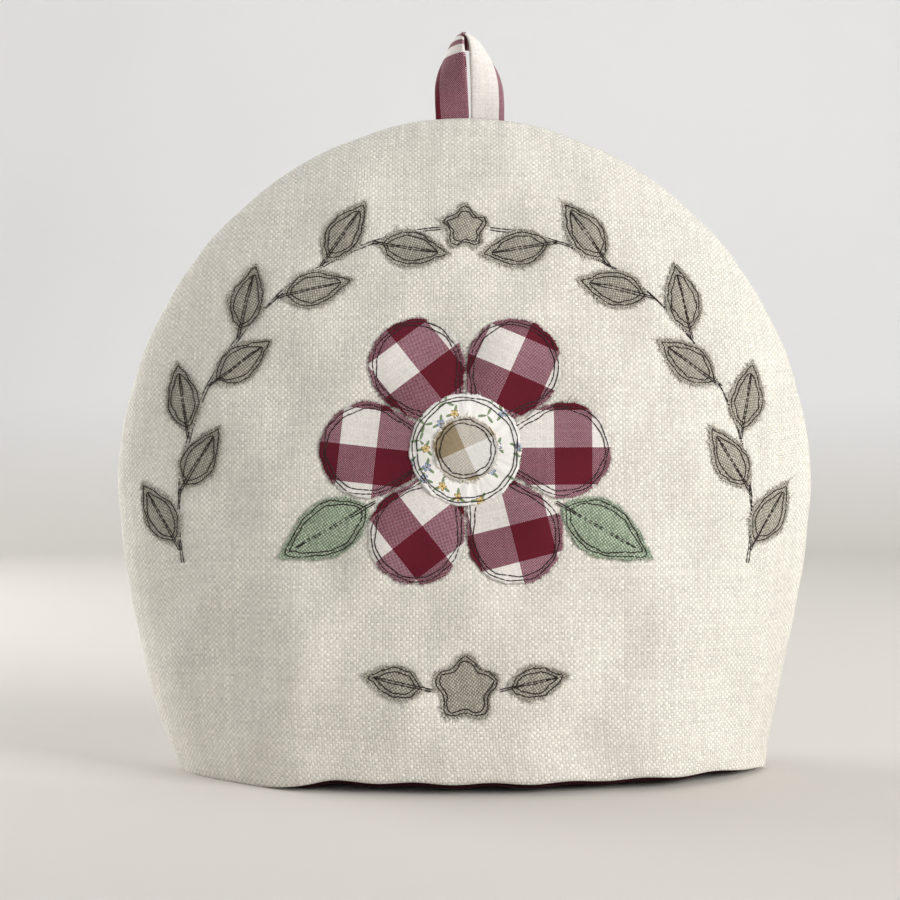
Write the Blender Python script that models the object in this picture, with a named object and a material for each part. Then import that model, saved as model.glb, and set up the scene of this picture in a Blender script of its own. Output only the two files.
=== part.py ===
"""A padded tea cosy of two sewn panels, with a lining, a hanging loop and cloth patches.

Metres, +Z up. The patched front faces -Y. The origin is on the table, under the middle of
the hem. Both panels meet in the plane y = 0, in one seam that runs over the crown.
"""
import math

import bmesh
import bpy
from mathutils import Vector

MM = 0.001

# The panels' outline, seen from the front: a round crown over a skirt that tapers in
CROWN_HEIGHT = 311 * MM
WIDEST_HEIGHT = 135 * MM
HALF_WIDTH = 166 * MM
HEM_HALF_WIDTH = 140 * MM
CROWN_POWER = 1.95
SKIRT_POWER = 1.5

# The skirt stands a little to the right at the hem
HEM_SWAY = 3.8 * MM
HEM_SWAY_HEIGHT = 48 * MM

# How far each panel stands out from the seam's plane
HEM_DEPTH = 66 * MM
RISE_POWER = 1.6
RISE_ROUNDING = 0.72
SIDE_POWER = 2.3
SIDE_ROUNDING = 0.74

# The layers: linen with its wadding, and the lining inside it
PANEL_THICKNESS = 5 * MM
SEAM_WIDTH = 7 * MM
LINING_THICKNESS = 1.2 * MM
LAYER_GAP = 0.8 * MM
SEAM_HALF_GAP = 0.15 * MM
LINING_FLOOR_GAP = 0.9 * MM
LINING_SHOWS = 2.4 * MM

# The front hem is lifted from the corner fold to the right-hand seam
HEM_LIFT = 5.2 * MM
LIFT_LEFT_START = -98 * MM
LIFT_LEFT_FULL = -58 * MM
LIFT_RIGHT_START = 168 * MM
LIFT_RIGHT_FULL = 98 * MM
HEM_RIPPLE = 0.5 * MM
HEM_RIPPLE_LENGTH = 34 * MM

# The grid that every panel is made on
COLUMNS = 22
SKIRT_ROWS = 8
CROWN_ROWS = 11

# Soft folds: place, half-width, height out (+) or in (-), and the height where each fades out
FOLD_COLUMNS = ("side", "x", "spread", "height", "fade_start", "fade_end")
FOLD_ROWS = (
    ("front", -80, 14, 4.8, 35, 135),
    ("front", 59, 14, -2.8, 35, 120),
    ("front", 92, 16, 2.4, 30, 115),
    ("front", -118, 14, -1.6, 20, 90),
    ("back", 82, 15, 3.6, 25, 110),
    ("back", -76, 15, 3.0, 20, 95),
    ("back", -4, 22, -2.4, 20, 120),
)
FOLDS = [dict(zip(FOLD_COLUMNS, row)) for row in FOLD_ROWS]

# The hanging loop: a folded cotton strip whose ends are sewn side by side in the crown seam
LOOP_THICKNESS = 1.8 * MM
LOOP_X = 2.6 * MM
LOOP_SLOT_HALF_WIDTH = 21 * MM
LOOP_SLOT_FADE = 8 * MM
LOOP_SLOT_HALF_GAP = 1.3 * MM
LOOP_SLOT_TOP = 302 * MM
LOOP_SLOT_BOTTOM = 288 * MM
LOOP_STEPS_PER_ROW = 2
LOOP_ACROSS = 4
# One leg from its sewn end to the top of the arch, in millimetres: z is from the crown, and
# the bow is how far the middle of the strip stands out from a straight line across it
LEG_COLUMNS = ("front_x", "front_y", "front_z", "rear_x", "rear_y", "rear_z", "bow")
LEG_ROWS = (
    (0.45, 0.0, -6.2, 16.2, 0.0, -6.2, 0.0),
    (0.45, 0.0, 1.0, 16.4, 0.0, 1.0, 0.0),
    (0.6, -0.6, 8.0, 16.5, 1.2, 8.0, 0.4),
    (0.9, -1.9, 17.0, 15.9, 3.9, 16.4, 0.9),
    (1.2, -3.9, 26.0, 13.4, 6.6, 24.6, 1.5),
    (1.6, -5.8, 33.0, 9.4, 8.0, 30.6, 2.2),
    (1.1, -6.9, 37.2, 4.8, 8.2, 33.8, 2.4),
    (0.0, -7.2, 38.6, 0.0, 8.0, 34.8, 2.2),
)
ARCH_LEAN = -3.2 * MM

# The patches, sewn flat on the front panel
PATCH_THICKNESS = 0.8 * MM
PATCH_GAP = 0.5 * MM
PATCH_LEVEL_STEP = PATCH_THICKNESS + PATCH_GAP

# The patchwork flower
FLOWER_Z = 152 * MM
PETALS = 6
LOBE_CENTRE = 44 * MM
LOBE_RADIUS = 21.4 * MM
LOBE_HALF_ARC = 118.0
PETAL_FOOT = 12 * MM
PETAL_FOOT_HALF_WIDTH = 5.4 * MM
FLOWER_DISC_RADIUS = 25 * MM
FLOWER_CENTRE_RADIUS = 14.5 * MM
SAGE_LEAF_LENGTH = 47 * MM
SAGE_LEAF_WIDTH = 25 * MM
SAGE_LEAF_FOOT = 50 * MM
SAGE_LEAF_ANGLE = -30.0

# The leaf garland that arches over the flower
GARLAND_Z = 123 * MM
GARLAND_RADIUS = 132 * MM
GARLAND_LEAVES = 8
GARLAND_END_ANGLE = 96.0
GARLAND_TOP_ANGLE = 6.5
GARLAND_LEAF_LENGTH = 34 * MM
GARLAND_LEAF_WIDTH = 18 * MM
GARLAND_LEAF_TILT = 27.0
GARLAND_STEM_GAP = 1.6 * MM
GARLAND_FLOWER_RADIUS = 11.5 * MM

# The small sprig under the flower
SPRIG_Z = 47 * MM
SPRIG_FLOWER_RADIUS = 15.5 * MM
SPRIG_LEAF_LENGTH = 28 * MM
SPRIG_LEAF_WIDTH = 15.5 * MM
SPRIG_LEAF_FOOT = 18.5 * MM
SPRIG_LEAF_ANGLE = 12.0

LEAF_STATIONS = 6
LEAF_FULLEST = 0.78
LOBED_EDGE_POINTS = 20
ROUND_EDGE_POINTS = 16
LOBES = 5
LOBE_DEPTH = 0.13

COLOURS = {
    "cream_linen": (0.72, 0.68, 0.58, 1.0),
    "burgundy_cotton": (0.16, 0.008, 0.025, 1.0),
    "burgundy_gingham": (0.33, 0.07, 0.11, 1.0),
    "grey_hopsack": (0.30, 0.27, 0.24, 1.0),
    "sage_cotton": (0.25, 0.36, 0.25, 1.0),
    "floral_cotton": (0.80, 0.79, 0.74, 1.0),
    "taupe_check": (0.50, 0.43, 0.33, 1.0),
}
CLOTH_ROUGHNESS = 0.9
SHARP_ANGLE = 40.0


def clear_scene():
    for thing in list(bpy.data.objects):
        bpy.data.objects.remove(thing, do_unlink=True)


def make_material(name):
    material = bpy.data.materials.new(name)
    material.use_nodes = True
    shader = material.node_tree.nodes["Principled BSDF"]
    shader.inputs["Base Color"].default_value = COLOURS[name]
    shader.inputs["Roughness"].default_value = CLOTH_ROUGHNESS
    shader.inputs["Metallic"].default_value = 0.0
    material.diffuse_color = COLOURS[name]
    return material


def add_object(name, mesh_builder, material):
    """Turn a finished bmesh into a named object with one material."""
    mesh = bpy.data.meshes.new(name)
    bmesh.ops.recalc_face_normals(mesh_builder, faces=mesh_builder.faces)
    mesh_builder.to_mesh(mesh)
    mesh_builder.free()
    mesh.materials.append(material)
    mesh.shade_smooth()
    mesh.set_sharp_from_angle(angle=math.radians(SHARP_ANGLE))
    item = bpy.data.objects.new(name, mesh)
    bpy.context.scene.collection.objects.link(item)
    return item


def smooth_step(value, start, end):
    """0 at start, 1 at end, with a soft turn at both; start may be above end."""
    share = min(1.0, max(0.0, (value - start) / (end - start)))
    return share * share * (3 - 2 * share)


# ---------------------------------------------------------------- the panels' form

def half_width(z, inset):
    """Half the width of a layer's outline at height z."""
    if z >= WIDEST_HEIGHT:
        rise = min(1.0, (z - WIDEST_HEIGHT) / (CROWN_HEIGHT - inset - WIDEST_HEIGHT))
        return (HALF_WIDTH - inset) * (1 - rise ** CROWN_POWER) ** (1 / CROWN_POWER)
    fall = (WIDEST_HEIGHT - z) / WIDEST_HEIGHT
    return HALF_WIDTH - inset - (HALF_WIDTH - HEM_HALF_WIDTH) * fall ** SKIRT_POWER


def front_hem_height(x):
    """Height of the front hem: down on the table at both ends, lifted between."""
    lift = smooth_step(x, LIFT_LEFT_START, LIFT_LEFT_FULL)
    lift *= smooth_step(x, LIFT_RIGHT_START, LIFT_RIGHT_FULL)
    ripple = HEM_RIPPLE * math.sin(2 * math.pi * x / HEM_RIPPLE_LENGTH)
    return lift * (HEM_LIFT + ripple)


def lining_hem_height(panel_hem):
    """The lining clears the table, and shows a little where the panel's hem is lifted."""
    return max(LINING_FLOOR_GAP, panel_hem - LINING_SHOWS)


def fold_depth(side, x, z):
    """How far the soft folds push the cloth out."""
    total = 0.0
    for fold in FOLDS:
        if fold["side"] == side:
            off = (x / MM - fold["x"]) / fold["spread"]
            fade = 1 - smooth_step(z / MM, fold["fade_start"], fold["fade_end"])
            total += fold["height"] * MM * fade * math.exp(-off * off)
    return total


def belly(side, x, z, inset, sink):
    """Distance of a layer from its own seam edge, sunk below the outermost one."""
    rise = min(1.0, z / (CROWN_HEIGHT - inset))
    across = min(1.0, abs(x) / max(half_width(z, inset), MM))
    middle = (HEM_DEPTH - sink) * (1 - rise ** RISE_POWER) ** RISE_ROUNDING
    shape = (1 - across ** SIDE_POWER) ** SIDE_ROUNDING
    return middle * shape + fold_depth(side, x, z) * shape


def crown_point(u, v, inset):
    """Map the upper half of a square to the round crown, so that no point crowds."""
    across = u * math.sqrt(1 - v * v / 2)
    up = v * math.sqrt(1 - u * u / 2)
    radius = math.hypot(across, up)
    power_radius = (abs(across) ** CROWN_POWER + abs(up) ** CROWN_POWER) ** (1 / CROWN_POWER)
    swell = radius / power_radius
    x = (HALF_WIDTH - inset) * across * swell
    z = WIDEST_HEIGHT + (CROWN_HEIGHT - inset - WIDEST_HEIGHT) * up * swell
    return x, z


def skirt_point(u, v, inset, hem):
    """Map the lower half of a square to the skirt, down to the hem."""
    z = hem + (WIDEST_HEIGHT - hem) * (1 + v)
    return u * half_width(z, inset), z


def seam_half_gap(x, z):
    """Half the space in the seam: wider at the crown, where the loop's ends go in."""
    opening = smooth_step(abs(x), LOOP_SLOT_HALF_WIDTH + LOOP_SLOT_FADE, LOOP_SLOT_HALF_WIDTH)
    opening *= smooth_step(z, LOOP_SLOT_BOTTOM, LOOP_SLOT_TOP)
    return SEAM_HALF_GAP + (LOOP_SLOT_HALF_GAP - SEAM_HALF_GAP) * opening


def layer_point(side, u, v, inset, sink, is_lining):
    """A point of one face of a layer; u runs along the hem and v from hem to crown."""
    hem_x = u * (HEM_HALF_WIDTH - inset)
    hem = front_hem_height(hem_x) if side == "front" else 0.0
    if is_lining:
        hem = lining_hem_height(hem)
    x, z = crown_point(u, v, inset) if v > 0 else skirt_point(u, v, inset, hem)
    on_seam = abs(u) == 1 or v == 1
    depth = 0.0 if on_seam else belly(side, x, z, inset, sink)
    y = depth + (SEAM_HALF_GAP if is_lining else seam_half_gap(x, z))
    sway = HEM_SWAY * max(0.0, 1 - z / HEM_SWAY_HEIGHT) ** 2
    return Vector((x + sway, -y if side == "front" else y, z))


def grid_values():
    across = [2 * column / COLUMNS - 1 for column in range(COLUMNS + 1)]
    skirt = [row / SKIRT_ROWS - 1 for row in range(SKIRT_ROWS)]
    crown = [row / CROWN_ROWS for row in range(CROWN_ROWS + 1)]
    return across, skirt + crown


def add_cell(builder, grid, row, column):
    """Two triangles; their shared edge leans up and outward, into the crown's corners."""
    corners = [
        grid[row][column], grid[row][column + 1],
        grid[row + 1][column + 1], grid[row + 1][column],
    ]
    if 2 * column < len(grid[0]) - 1:
        corners = corners[1:] + corners[:1]
    builder.faces.new((corners[0], corners[1], corners[2]))
    builder.faces.new((corners[0], corners[2], corners[3]))


def add_sheet_faces(builder, outer, inner):
    """Close two grids of points into one thin solid."""
    rows = len(outer)
    columns = len(outer[0])
    for grid in (outer, inner):
        for row in range(rows - 1):
            for column in range(columns - 1):
                add_cell(builder, grid, row, column)
    rim = [(0, column) for column in range(columns - 1)]
    rim += [(row, columns - 1) for row in range(rows - 1)]
    rim += [(rows - 1, column) for column in range(columns - 1, 0, -1)]
    rim += [(row, 0) for row in range(rows - 1, 0, -1)]
    for index, (row, column) in enumerate(rim):
        next_row, next_column = rim[(index + 1) % len(rim)]
        builder.faces.new((
            outer[row][column], outer[next_row][next_column],
            inner[next_row][next_column], inner[row][column],
        ))


def make_layer(name, side, material, inset, sink, thickness, edge_width, is_lining):
    """One cloth layer of the cosy, from its outer face to its inner face."""
    builder = bmesh.new()
    across, up = grid_values()
    faces = ((inset, sink), (inset + edge_width, sink + thickness))
    outer, inner = (
        [[builder.verts.new(layer_point(side, u, v, face_inset, face_sink, is_lining))
          for u in across] for v in up]
        for face_inset, face_sink in faces
    )
    add_sheet_faces(builder, outer, inner)
    return add_object(name, builder, material)


def make_panels(linen):
    for side in ("front", "back"):
        make_layer(f"{side}_panel", side, linen, 0.0, 0.0, PANEL_THICKNESS, SEAM_WIDTH, False)


def make_linings(cotton):
    inset = SEAM_WIDTH + LAYER_GAP
    sink = PANEL_THICKNESS + LAYER_GAP
    for side in ("front", "back"):
        make_layer(
            f"lining_{side}", side, cotton, inset, sink,
            LINING_THICKNESS, LINING_THICKNESS, True,
        )


# ---------------------------------------------------------------- the hanging loop

def leg_station(position):
    """A point between the rows of the leg's table, on a smooth curve through them."""
    row = min(int(position), len(LEG_ROWS) - 2)
    share = position - row
    before, here, there, after = (
        LEG_ROWS[min(max(index, 0), len(LEG_ROWS) - 1)]
        for index in (row - 1, row, row + 1, row + 2)
    )
    values = []
    for p0, p1, p2, p3 in zip(before, here, there, after):
        bend = (2 * p0 - 5 * p1 + 4 * p2 - p3) * share ** 2
        twist = (3 * (p1 - p2) + p3 - p0) * share ** 3
        values.append(0.5 * (2 * p1 + (p2 - p0) * share + bend + twist))
    return dict(zip(LEG_COLUMNS, values))


def loop_section(position, side):
    """The strip's front edge, rear edge and bow at a place on one leg; -1 left, +1 right."""
    station = leg_station(position)
    top_share = position / (len(LEG_ROWS) - 1)
    middle = LOOP_X + ARCH_LEAN * top_share ** 2
    edges = []
    for edge in ("front", "rear"):
        x = middle + side * station[f"{edge}_x"] * MM
        z = CROWN_HEIGHT + station[f"{edge}_z"] * MM
        edges.append(Vector((x, station[f"{edge}_y"] * MM, z)))
    return (*edges, station["bow"] * MM)


def loop_path():
    """Sections of the strip from the left end, over the arch, to the right end."""
    steps = (len(LEG_ROWS) - 1) * LOOP_STEPS_PER_ROW
    left = [loop_section(step / LOOP_STEPS_PER_ROW, -1) for step in range(steps + 1)]
    right = [loop_section(step / LOOP_STEPS_PER_ROW, 1) for step in range(steps - 1, -1, -1)]
    return left + right


def make_loop(cotton):
    path = loop_path()
    builder = bmesh.new()
    skins = ([], [])
    for index, (front, rear, bow) in enumerate(path):
        ahead = path[min(index + 1, len(path) - 1)]
        behind = path[max(index - 1, 0)]
        along = (ahead[0] + ahead[1] - behind[0] - behind[1]).normalized()
        inward = along.cross(front - rear).normalized()
        for skin, offset in zip(skins, (0.5, -0.5)):
            points = []
            for column in range(LOOP_ACROSS + 1):
                share = column / LOOP_ACROSS
                shift = LOOP_THICKNESS * offset - bow * 4 * share * (1 - share)
                points.append(builder.verts.new(rear.lerp(front, share) + inward * shift))
            skin.append(points)
    add_sheet_faces(builder, *skins)
    return add_object("hanging_loop", builder, cotton)


# ---------------------------------------------------------------- the patches

def front_point(x, z, offset):
    """A point at a distance off the front panel's face, square to it."""
    step = MM

    def on_face(at_x, at_z):
        depth = belly("front", at_x, at_z, 0.0, 0.0)
        return Vector((at_x, -depth - seam_half_gap(at_x, at_z), at_z))

    across = on_face(x + step, z) - on_face(x - step, z)
    up = on_face(x, z + step) - on_face(x, z - step)
    return on_face(x, z) + across.cross(up).normalized() * offset


def make_patch(name, material, outline, rings, level=0):
    """A thin patch that follows the panel; the outline is a list of (x, z) points."""
    centre_x = sum(point[0] for point in outline) / len(outline)
    centre_z = sum(point[1] for point in outline) / len(outline)
    under = PATCH_GAP + level * PATCH_LEVEL_STEP
    builder = bmesh.new()
    edges = []
    for offset in (under, under + PATCH_THICKNESS):
        middle = builder.verts.new(front_point(centre_x, centre_z, offset))
        loops = []
        for ring in range(1, rings + 1):
            share = ring / rings
            loops.append([
                builder.verts.new(front_point(
                    centre_x + (x - centre_x) * share,
                    centre_z + (z - centre_z) * share,
                    offset,
                ))
                for x, z in outline
            ])
        add_patch_faces(builder, middle, loops)
        edges.append(loops[-1])
    bottom, top = edges
    for index in range(len(outline)):
        after = (index + 1) % len(outline)
        builder.faces.new((bottom[index], bottom[after], top[after], top[index]))
    return add_object(name, builder, material)


def add_patch_faces(builder, middle, loops):
    count = len(loops[0])
    for index in range(count):
        after = (index + 1) % count
        builder.faces.new((middle, loops[0][index], loops[0][after]))
        for inner, outer in zip(loops, loops[1:]):
            builder.faces.new((inner[index], outer[index], outer[after], inner[after]))


def turned(points, angle, x, z):
    """Turn points about their origin, then move them; the angle is up from +X, in degrees."""
    cosine = math.cos(math.radians(angle))
    sine = math.sin(math.radians(angle))
    return [(x + a * cosine - b * sine, z + a * sine + b * cosine) for a, b in points]


def leaf_outline(length, width):
    """A pointed leaf that grows from its foot at the origin along +X."""
    upper = []
    for station in range(LEAF_STATIONS + 1):
        along = (1 - math.cos(math.pi * station / LEAF_STATIONS)) / 2
        spread = math.sin(math.pi * along ** LEAF_FULLEST)
        upper.append((length * along, width / 2 * spread))
    lower = [(x, -z) for x, z in reversed(upper[1:-1])]
    return upper + lower


def petal_outline():
    """A petal with a narrow foot and a round lobe, growing from the origin along +X."""
    foot = [(PETAL_FOOT, -PETAL_FOOT_HALF_WIDTH), (PETAL_FOOT, PETAL_FOOT_HALF_WIDTH)]
    lobe = []
    arc_points = ROUND_EDGE_POINTS - len(foot)
    half_arc = math.radians(LOBE_HALF_ARC)
    for index in range(arc_points):
        turn = half_arc * (1 - 2 * index / (arc_points - 1))
        lobe.append((LOBE_CENTRE + LOBE_RADIUS * math.cos(turn), LOBE_RADIUS * math.sin(turn)))
    return foot + lobe


def round_outline(radius):
    points = range(ROUND_EDGE_POINTS)
    turns = [2 * math.pi * point / ROUND_EDGE_POINTS for point in points]
    return [(radius * math.cos(turn), radius * math.sin(turn)) for turn in turns]


def lobed_outline(radius):
    """A small five-lobed flower."""
    outline = []
    for point in range(LOBED_EDGE_POINTS):
        turn = math.pi / 2 + 2 * math.pi * point / LOBED_EDGE_POINTS
        reach = radius * (1 - LOBE_DEPTH + LOBE_DEPTH * math.cos(LOBES * (turn - math.pi / 2)))
        outline.append((reach * math.cos(turn), reach * math.sin(turn)))
    return outline


def make_flower(gingham, floral, check, sage):
    for petal in range(PETALS):
        outline = turned(petal_outline(), 360 * petal / PETALS, 0.0, FLOWER_Z)
        make_patch(f"petal_{petal + 1}", gingham, outline, 3)
    disc = turned(round_outline(FLOWER_DISC_RADIUS), 0, 0.0, FLOWER_Z)
    make_patch("flower_disc", floral, disc, 2, level=1)
    centre = turned(round_outline(FLOWER_CENTRE_RADIUS), 0, 0.0, FLOWER_Z)
    make_patch("flower_centre", check, centre, 1, level=2)
    for side, angle in (("right", SAGE_LEAF_ANGLE), ("left", 180 - SAGE_LEAF_ANGLE)):
        foot_x = SAGE_LEAF_FOOT * math.cos(math.radians(angle))
        foot_z = FLOWER_Z + SAGE_LEAF_FOOT * math.sin(math.radians(angle))
        leaf = leaf_outline(SAGE_LEAF_LENGTH, SAGE_LEAF_WIDTH)
        make_patch(f"sage_leaf_{side}", sage, turned(leaf, angle, foot_x, foot_z), 2)


def make_garland(hopsack):
    """Two rows of leaves that climb an arc from both ends towards the top."""
    span = (GARLAND_END_ANGLE - GARLAND_TOP_ANGLE) / GARLAND_LEAVES
    leaf = leaf_outline(GARLAND_LEAF_LENGTH, GARLAND_LEAF_WIDTH)
    for side, sign in (("left", -1), ("right", 1)):
        for index in range(GARLAND_LEAVES):
            swing = GARLAND_END_ANGLE - index * span
            outward = 1 if index % 2 == 0 else -1
            radius = GARLAND_RADIUS + outward * GARLAND_STEM_GAP
            foot_x = sign * radius * math.sin(math.radians(swing))
            foot_z = GARLAND_Z + radius * math.cos(math.radians(swing))
            climb = 90 + sign * (90 - swing)
            angle = climb - sign * outward * GARLAND_LEAF_TILT
            outline = turned(leaf, angle, foot_x, foot_z)
            make_patch(f"garland_leaf_{side}_{index + 1}", hopsack, outline, 2)
    top = turned(lobed_outline(GARLAND_FLOWER_RADIUS), 0, 0.0, GARLAND_Z + GARLAND_RADIUS)
    make_patch("garland_flower", hopsack, top, 2)


def make_sprig(hopsack):
    flower = turned(lobed_outline(SPRIG_FLOWER_RADIUS), 0, 0.0, SPRIG_Z)
    make_patch("sprig_flower", hopsack, flower, 2)
    leaf = leaf_outline(SPRIG_LEAF_LENGTH, SPRIG_LEAF_WIDTH)
    for side, angle in (("right", SPRIG_LEAF_ANGLE), ("left", 180 - SPRIG_LEAF_ANGLE)):
        foot_x = math.copysign(SPRIG_LEAF_FOOT, math.cos(math.radians(angle)))
        outline = turned(leaf, angle, foot_x, SPRIG_Z)
        make_patch(f"sprig_leaf_{side}", hopsack, outline, 2)


def main():
    clear_scene()
    materials = {name: make_material(name) for name in COLOURS}
    make_panels(materials["cream_linen"])
    make_linings(materials["burgundy_cotton"])
    make_loop(materials["burgundy_gingham"])
    make_flower(
        materials["burgundy_gingham"], materials["floral_cotton"],
        materials["taupe_check"], materials["sage_cotton"],
    )
    make_garland(materials["grey_hopsack"])
    make_sprig(materials["grey_hopsack"])


main()
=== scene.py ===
"""The looks of a padded tea cosy: woven cloth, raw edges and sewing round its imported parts.

Metres, +Z up. The patched front faces -Y. Sizes are named in millimetres, times MM.
"""
import math
import zlib
from collections.abc import Callable
from dataclasses import dataclass

import bpy
import numpy as np
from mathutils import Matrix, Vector
from mathutils.kdtree import KDTree


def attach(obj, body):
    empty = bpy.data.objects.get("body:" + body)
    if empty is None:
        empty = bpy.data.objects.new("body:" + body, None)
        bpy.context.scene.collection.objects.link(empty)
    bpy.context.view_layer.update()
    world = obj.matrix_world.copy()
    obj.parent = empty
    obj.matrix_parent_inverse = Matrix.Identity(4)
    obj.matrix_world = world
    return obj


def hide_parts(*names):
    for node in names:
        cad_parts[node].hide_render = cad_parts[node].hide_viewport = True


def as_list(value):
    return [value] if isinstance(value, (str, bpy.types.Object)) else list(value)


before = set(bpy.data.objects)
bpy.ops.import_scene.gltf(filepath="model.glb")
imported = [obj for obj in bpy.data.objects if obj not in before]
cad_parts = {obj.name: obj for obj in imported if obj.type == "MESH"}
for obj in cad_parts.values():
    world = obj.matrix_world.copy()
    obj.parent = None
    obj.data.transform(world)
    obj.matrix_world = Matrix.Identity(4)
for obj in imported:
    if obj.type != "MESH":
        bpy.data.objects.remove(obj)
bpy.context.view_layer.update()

MM = 0.001
CIRCLE = 2 * math.pi


def table(columns, *rows):
    """Rows of values with named columns."""
    return [dict(zip(columns.split(), row)) for row in rows]


def keyed(columns, *rows):
    """The same, each row found by its first value."""
    return {row[0]: facts for row, facts in zip(rows, table(columns, *rows))}


def join(*parts):
    """Arrays side by side, as points' coordinates or faces' corners."""
    return np.stack(parts, axis=-1)


def unit(vectors):
    return vectors / np.linalg.norm(vectors, axis=-1, keepdims=True)


def turns(count):
    """Evenly spaced angles, once round."""
    return CIRCLE * np.arange(count) / count


def on_circle(angle):
    return join(np.cos(angle), np.sin(angle))


def reaches(points):
    """How far along a line each of its points lies."""
    steps = np.linalg.norm(np.diff(points, axis=0), axis=1)
    return np.concatenate([[0.0], np.cumsum(steps)])


def dice(name):
    """A random source that depends on the piece's name alone."""
    return np.random.default_rng(zlib.crc32(name.encode()))


def smooth_step(value, start, end):
    """0 at start, 1 at end, with a soft turn at both; start may be above end."""
    share = np.clip((value - start) / (end - start), 0.0, 1.0)
    return share * share * (3 - 2 * share)


def add_to_scene(name, data, place=(0.0, 0.0, 0.0)):
    thing = bpy.data.objects.new(name, data)
    thing.location = place
    bpy.context.scene.collection.objects.link(thing)
    return thing


# The panels' outline and depth, as in the part
CROWN_HEIGHT = 311 * MM
WIDEST_HEIGHT = 135 * MM
HALF_WIDTH = 166 * MM
HEM_HALF_WIDTH = 140 * MM
CROWN_POWER = 1.95
SKIRT_POWER = 1.5
HEM_SWAY = 3.8 * MM
HEM_SWAY_HEIGHT = 48 * MM
HEM_DEPTH = 66 * MM
RISE_POWER = 1.6
RISE_ROUNDING = 0.72
SIDE_POWER = 2.3
SIDE_ROUNDING = 0.74
PANEL_THICKNESS = 5 * MM
SEAM_WIDTH = 7 * MM
LINING_THICKNESS = 1.2 * MM
LAYER_GAP = 0.8 * MM
SEAM_HALF_GAP = 0.15 * MM
LINING_FLOOR_GAP = 0.9 * MM
LINING_SHOWS = 2.4 * MM
HEM_LIFT = 5.2 * MM
LIFT_LEFT = (-98 * MM, -58 * MM)
LIFT_RIGHT = (168 * MM, 98 * MM)
HEM_RIPPLE = 0.5 * MM
HEM_RIPPLE_LENGTH = 34 * MM
FOLDS = table(
    "side x spread height fade_start fade_end",
    ("front", -80, 14, 4.8, 35, 135),
    ("front", 59, 14, -2.8, 35, 120),
    ("front", 92, 16, 2.4, 30, 115),
    ("front", -118, 14, -1.6, 20, 90),
    ("back", 82, 15, 3.6, 25, 110),
    ("back", -76, 15, 3.0, 20, 95),
    ("back", -4, 22, -2.4, 20, 120),
)

# The hanging loop, as in the part; z is from the crown, in millimetres
LOOP_THICKNESS = 1.8 * MM
LOOP_X = 2.6 * MM
LOOP_SLOT_HALF_WIDTH = 21 * MM
LOOP_SLOT_FADE = 8 * MM
LOOP_SLOT_HALF_GAP = 1.3 * MM
LOOP_SLOT = (288 * MM, 302 * MM)
LEG_COLUMNS = ("front_x", "front_y", "front_z", "rear_x", "rear_y", "rear_z", "bow")
LEG_ROWS = (
    (0.45, 0.0, -6.2, 16.2, 0.0, -6.2, 0.0),
    (0.45, 0.0, 1.0, 16.4, 0.0, 1.0, 0.0),
    (0.6, -0.6, 8.0, 16.5, 1.2, 8.0, 0.4),
    (0.9, -1.9, 17.0, 15.9, 3.9, 16.4, 0.9),
    (1.2, -3.9, 26.0, 13.4, 6.6, 24.6, 1.5),
    (1.6, -5.8, 33.0, 9.4, 8.0, 30.6, 2.2),
    (1.1, -6.9, 37.2, 4.8, 8.2, 33.8, 2.4),
    (0.0, -7.2, 38.6, 0.0, 8.0, 34.8, 2.2),
)
ARCH_LEAN = -3.2 * MM

# The patches, as in the part
FLOWER_Z = 152 * MM
PETALS = 6
LOBE_CENTRE = 44 * MM
LOBE_RADIUS = 21.4 * MM
LOBE_HALF_ARC = 118.0
PETAL_FOOT = 12 * MM
PETAL_FOOT_HALF_WIDTH = 5.4 * MM
FLOWER_DISC_RADIUS = 25 * MM
FLOWER_CENTRE_RADIUS = 14.5 * MM
SAGE_LEAF = (47 * MM, 25 * MM)
SAGE_LEAF_FOOT = 50 * MM
SAGE_LEAF_ANGLE = -30.0
GARLAND_Z = 123 * MM
GARLAND_RADIUS = 132 * MM
GARLAND_LEAVES = 8
GARLAND_END_ANGLE = 96.0
GARLAND_TOP_ANGLE = 6.5
GARLAND_LEAF = (34 * MM, 18 * MM)
GARLAND_LEAF_TILT = 27.0
GARLAND_STEM_GAP = 1.6 * MM
GARLAND_FLOWER_RADIUS = 11.5 * MM
SPRIG_Z = 47 * MM
SPRIG_FLOWER_RADIUS = 15.5 * MM
SPRIG_LEAF = (28 * MM, 15.5 * MM)
SPRIG_LEAF_FOOT = 18.5 * MM
SPRIG_LEAF_ANGLE = 12.0
LEAF_FULLEST = 0.78
LEAF_FOOT_INSET = 1.2
LEAF_LENGTH_INSET = 3.0
PETAL_FOOT_INSET = 0.9
LOBES = 5
LOBE_DEPTH = 0.13

# The cosy's layers; cut is the rectangle of cloth, in metres
LAYERS = keyed(
    "kind inset sink thickness edge cloth slot cut",
    ("panel", 0.0, 0.0, PANEL_THICKNESS, SEAM_WIDTH, "linen", "cream_linen", (0.372, 0.352)),
    ("lining", SEAM_WIDTH + LAYER_GAP, PANEL_THICKNESS + LAYER_GAP, LINING_THICKNESS,
        LINING_THICKNESS, "cotton", "burgundy_cotton", (0.356, 0.340)),
)

# How fine the cloth's meshes are: columns, rows of the skirt and rows of the crown
GRIDS = {
    "front_panel": (220, 68, 96),
    "back_panel": (160, 50, 72),
    "lining_front": (110, 34, 50),
    "lining_back": (110, 34, 50),
}
EDGE_CROWDING = 0.35
HEM_STEPS = (0.0, 0.25, 0.8, 1.5, 2.3, 3.4, 4.8)
HEM_ROUNDING = 2.3 * MM
HEM_TUCK = 0.44

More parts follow.
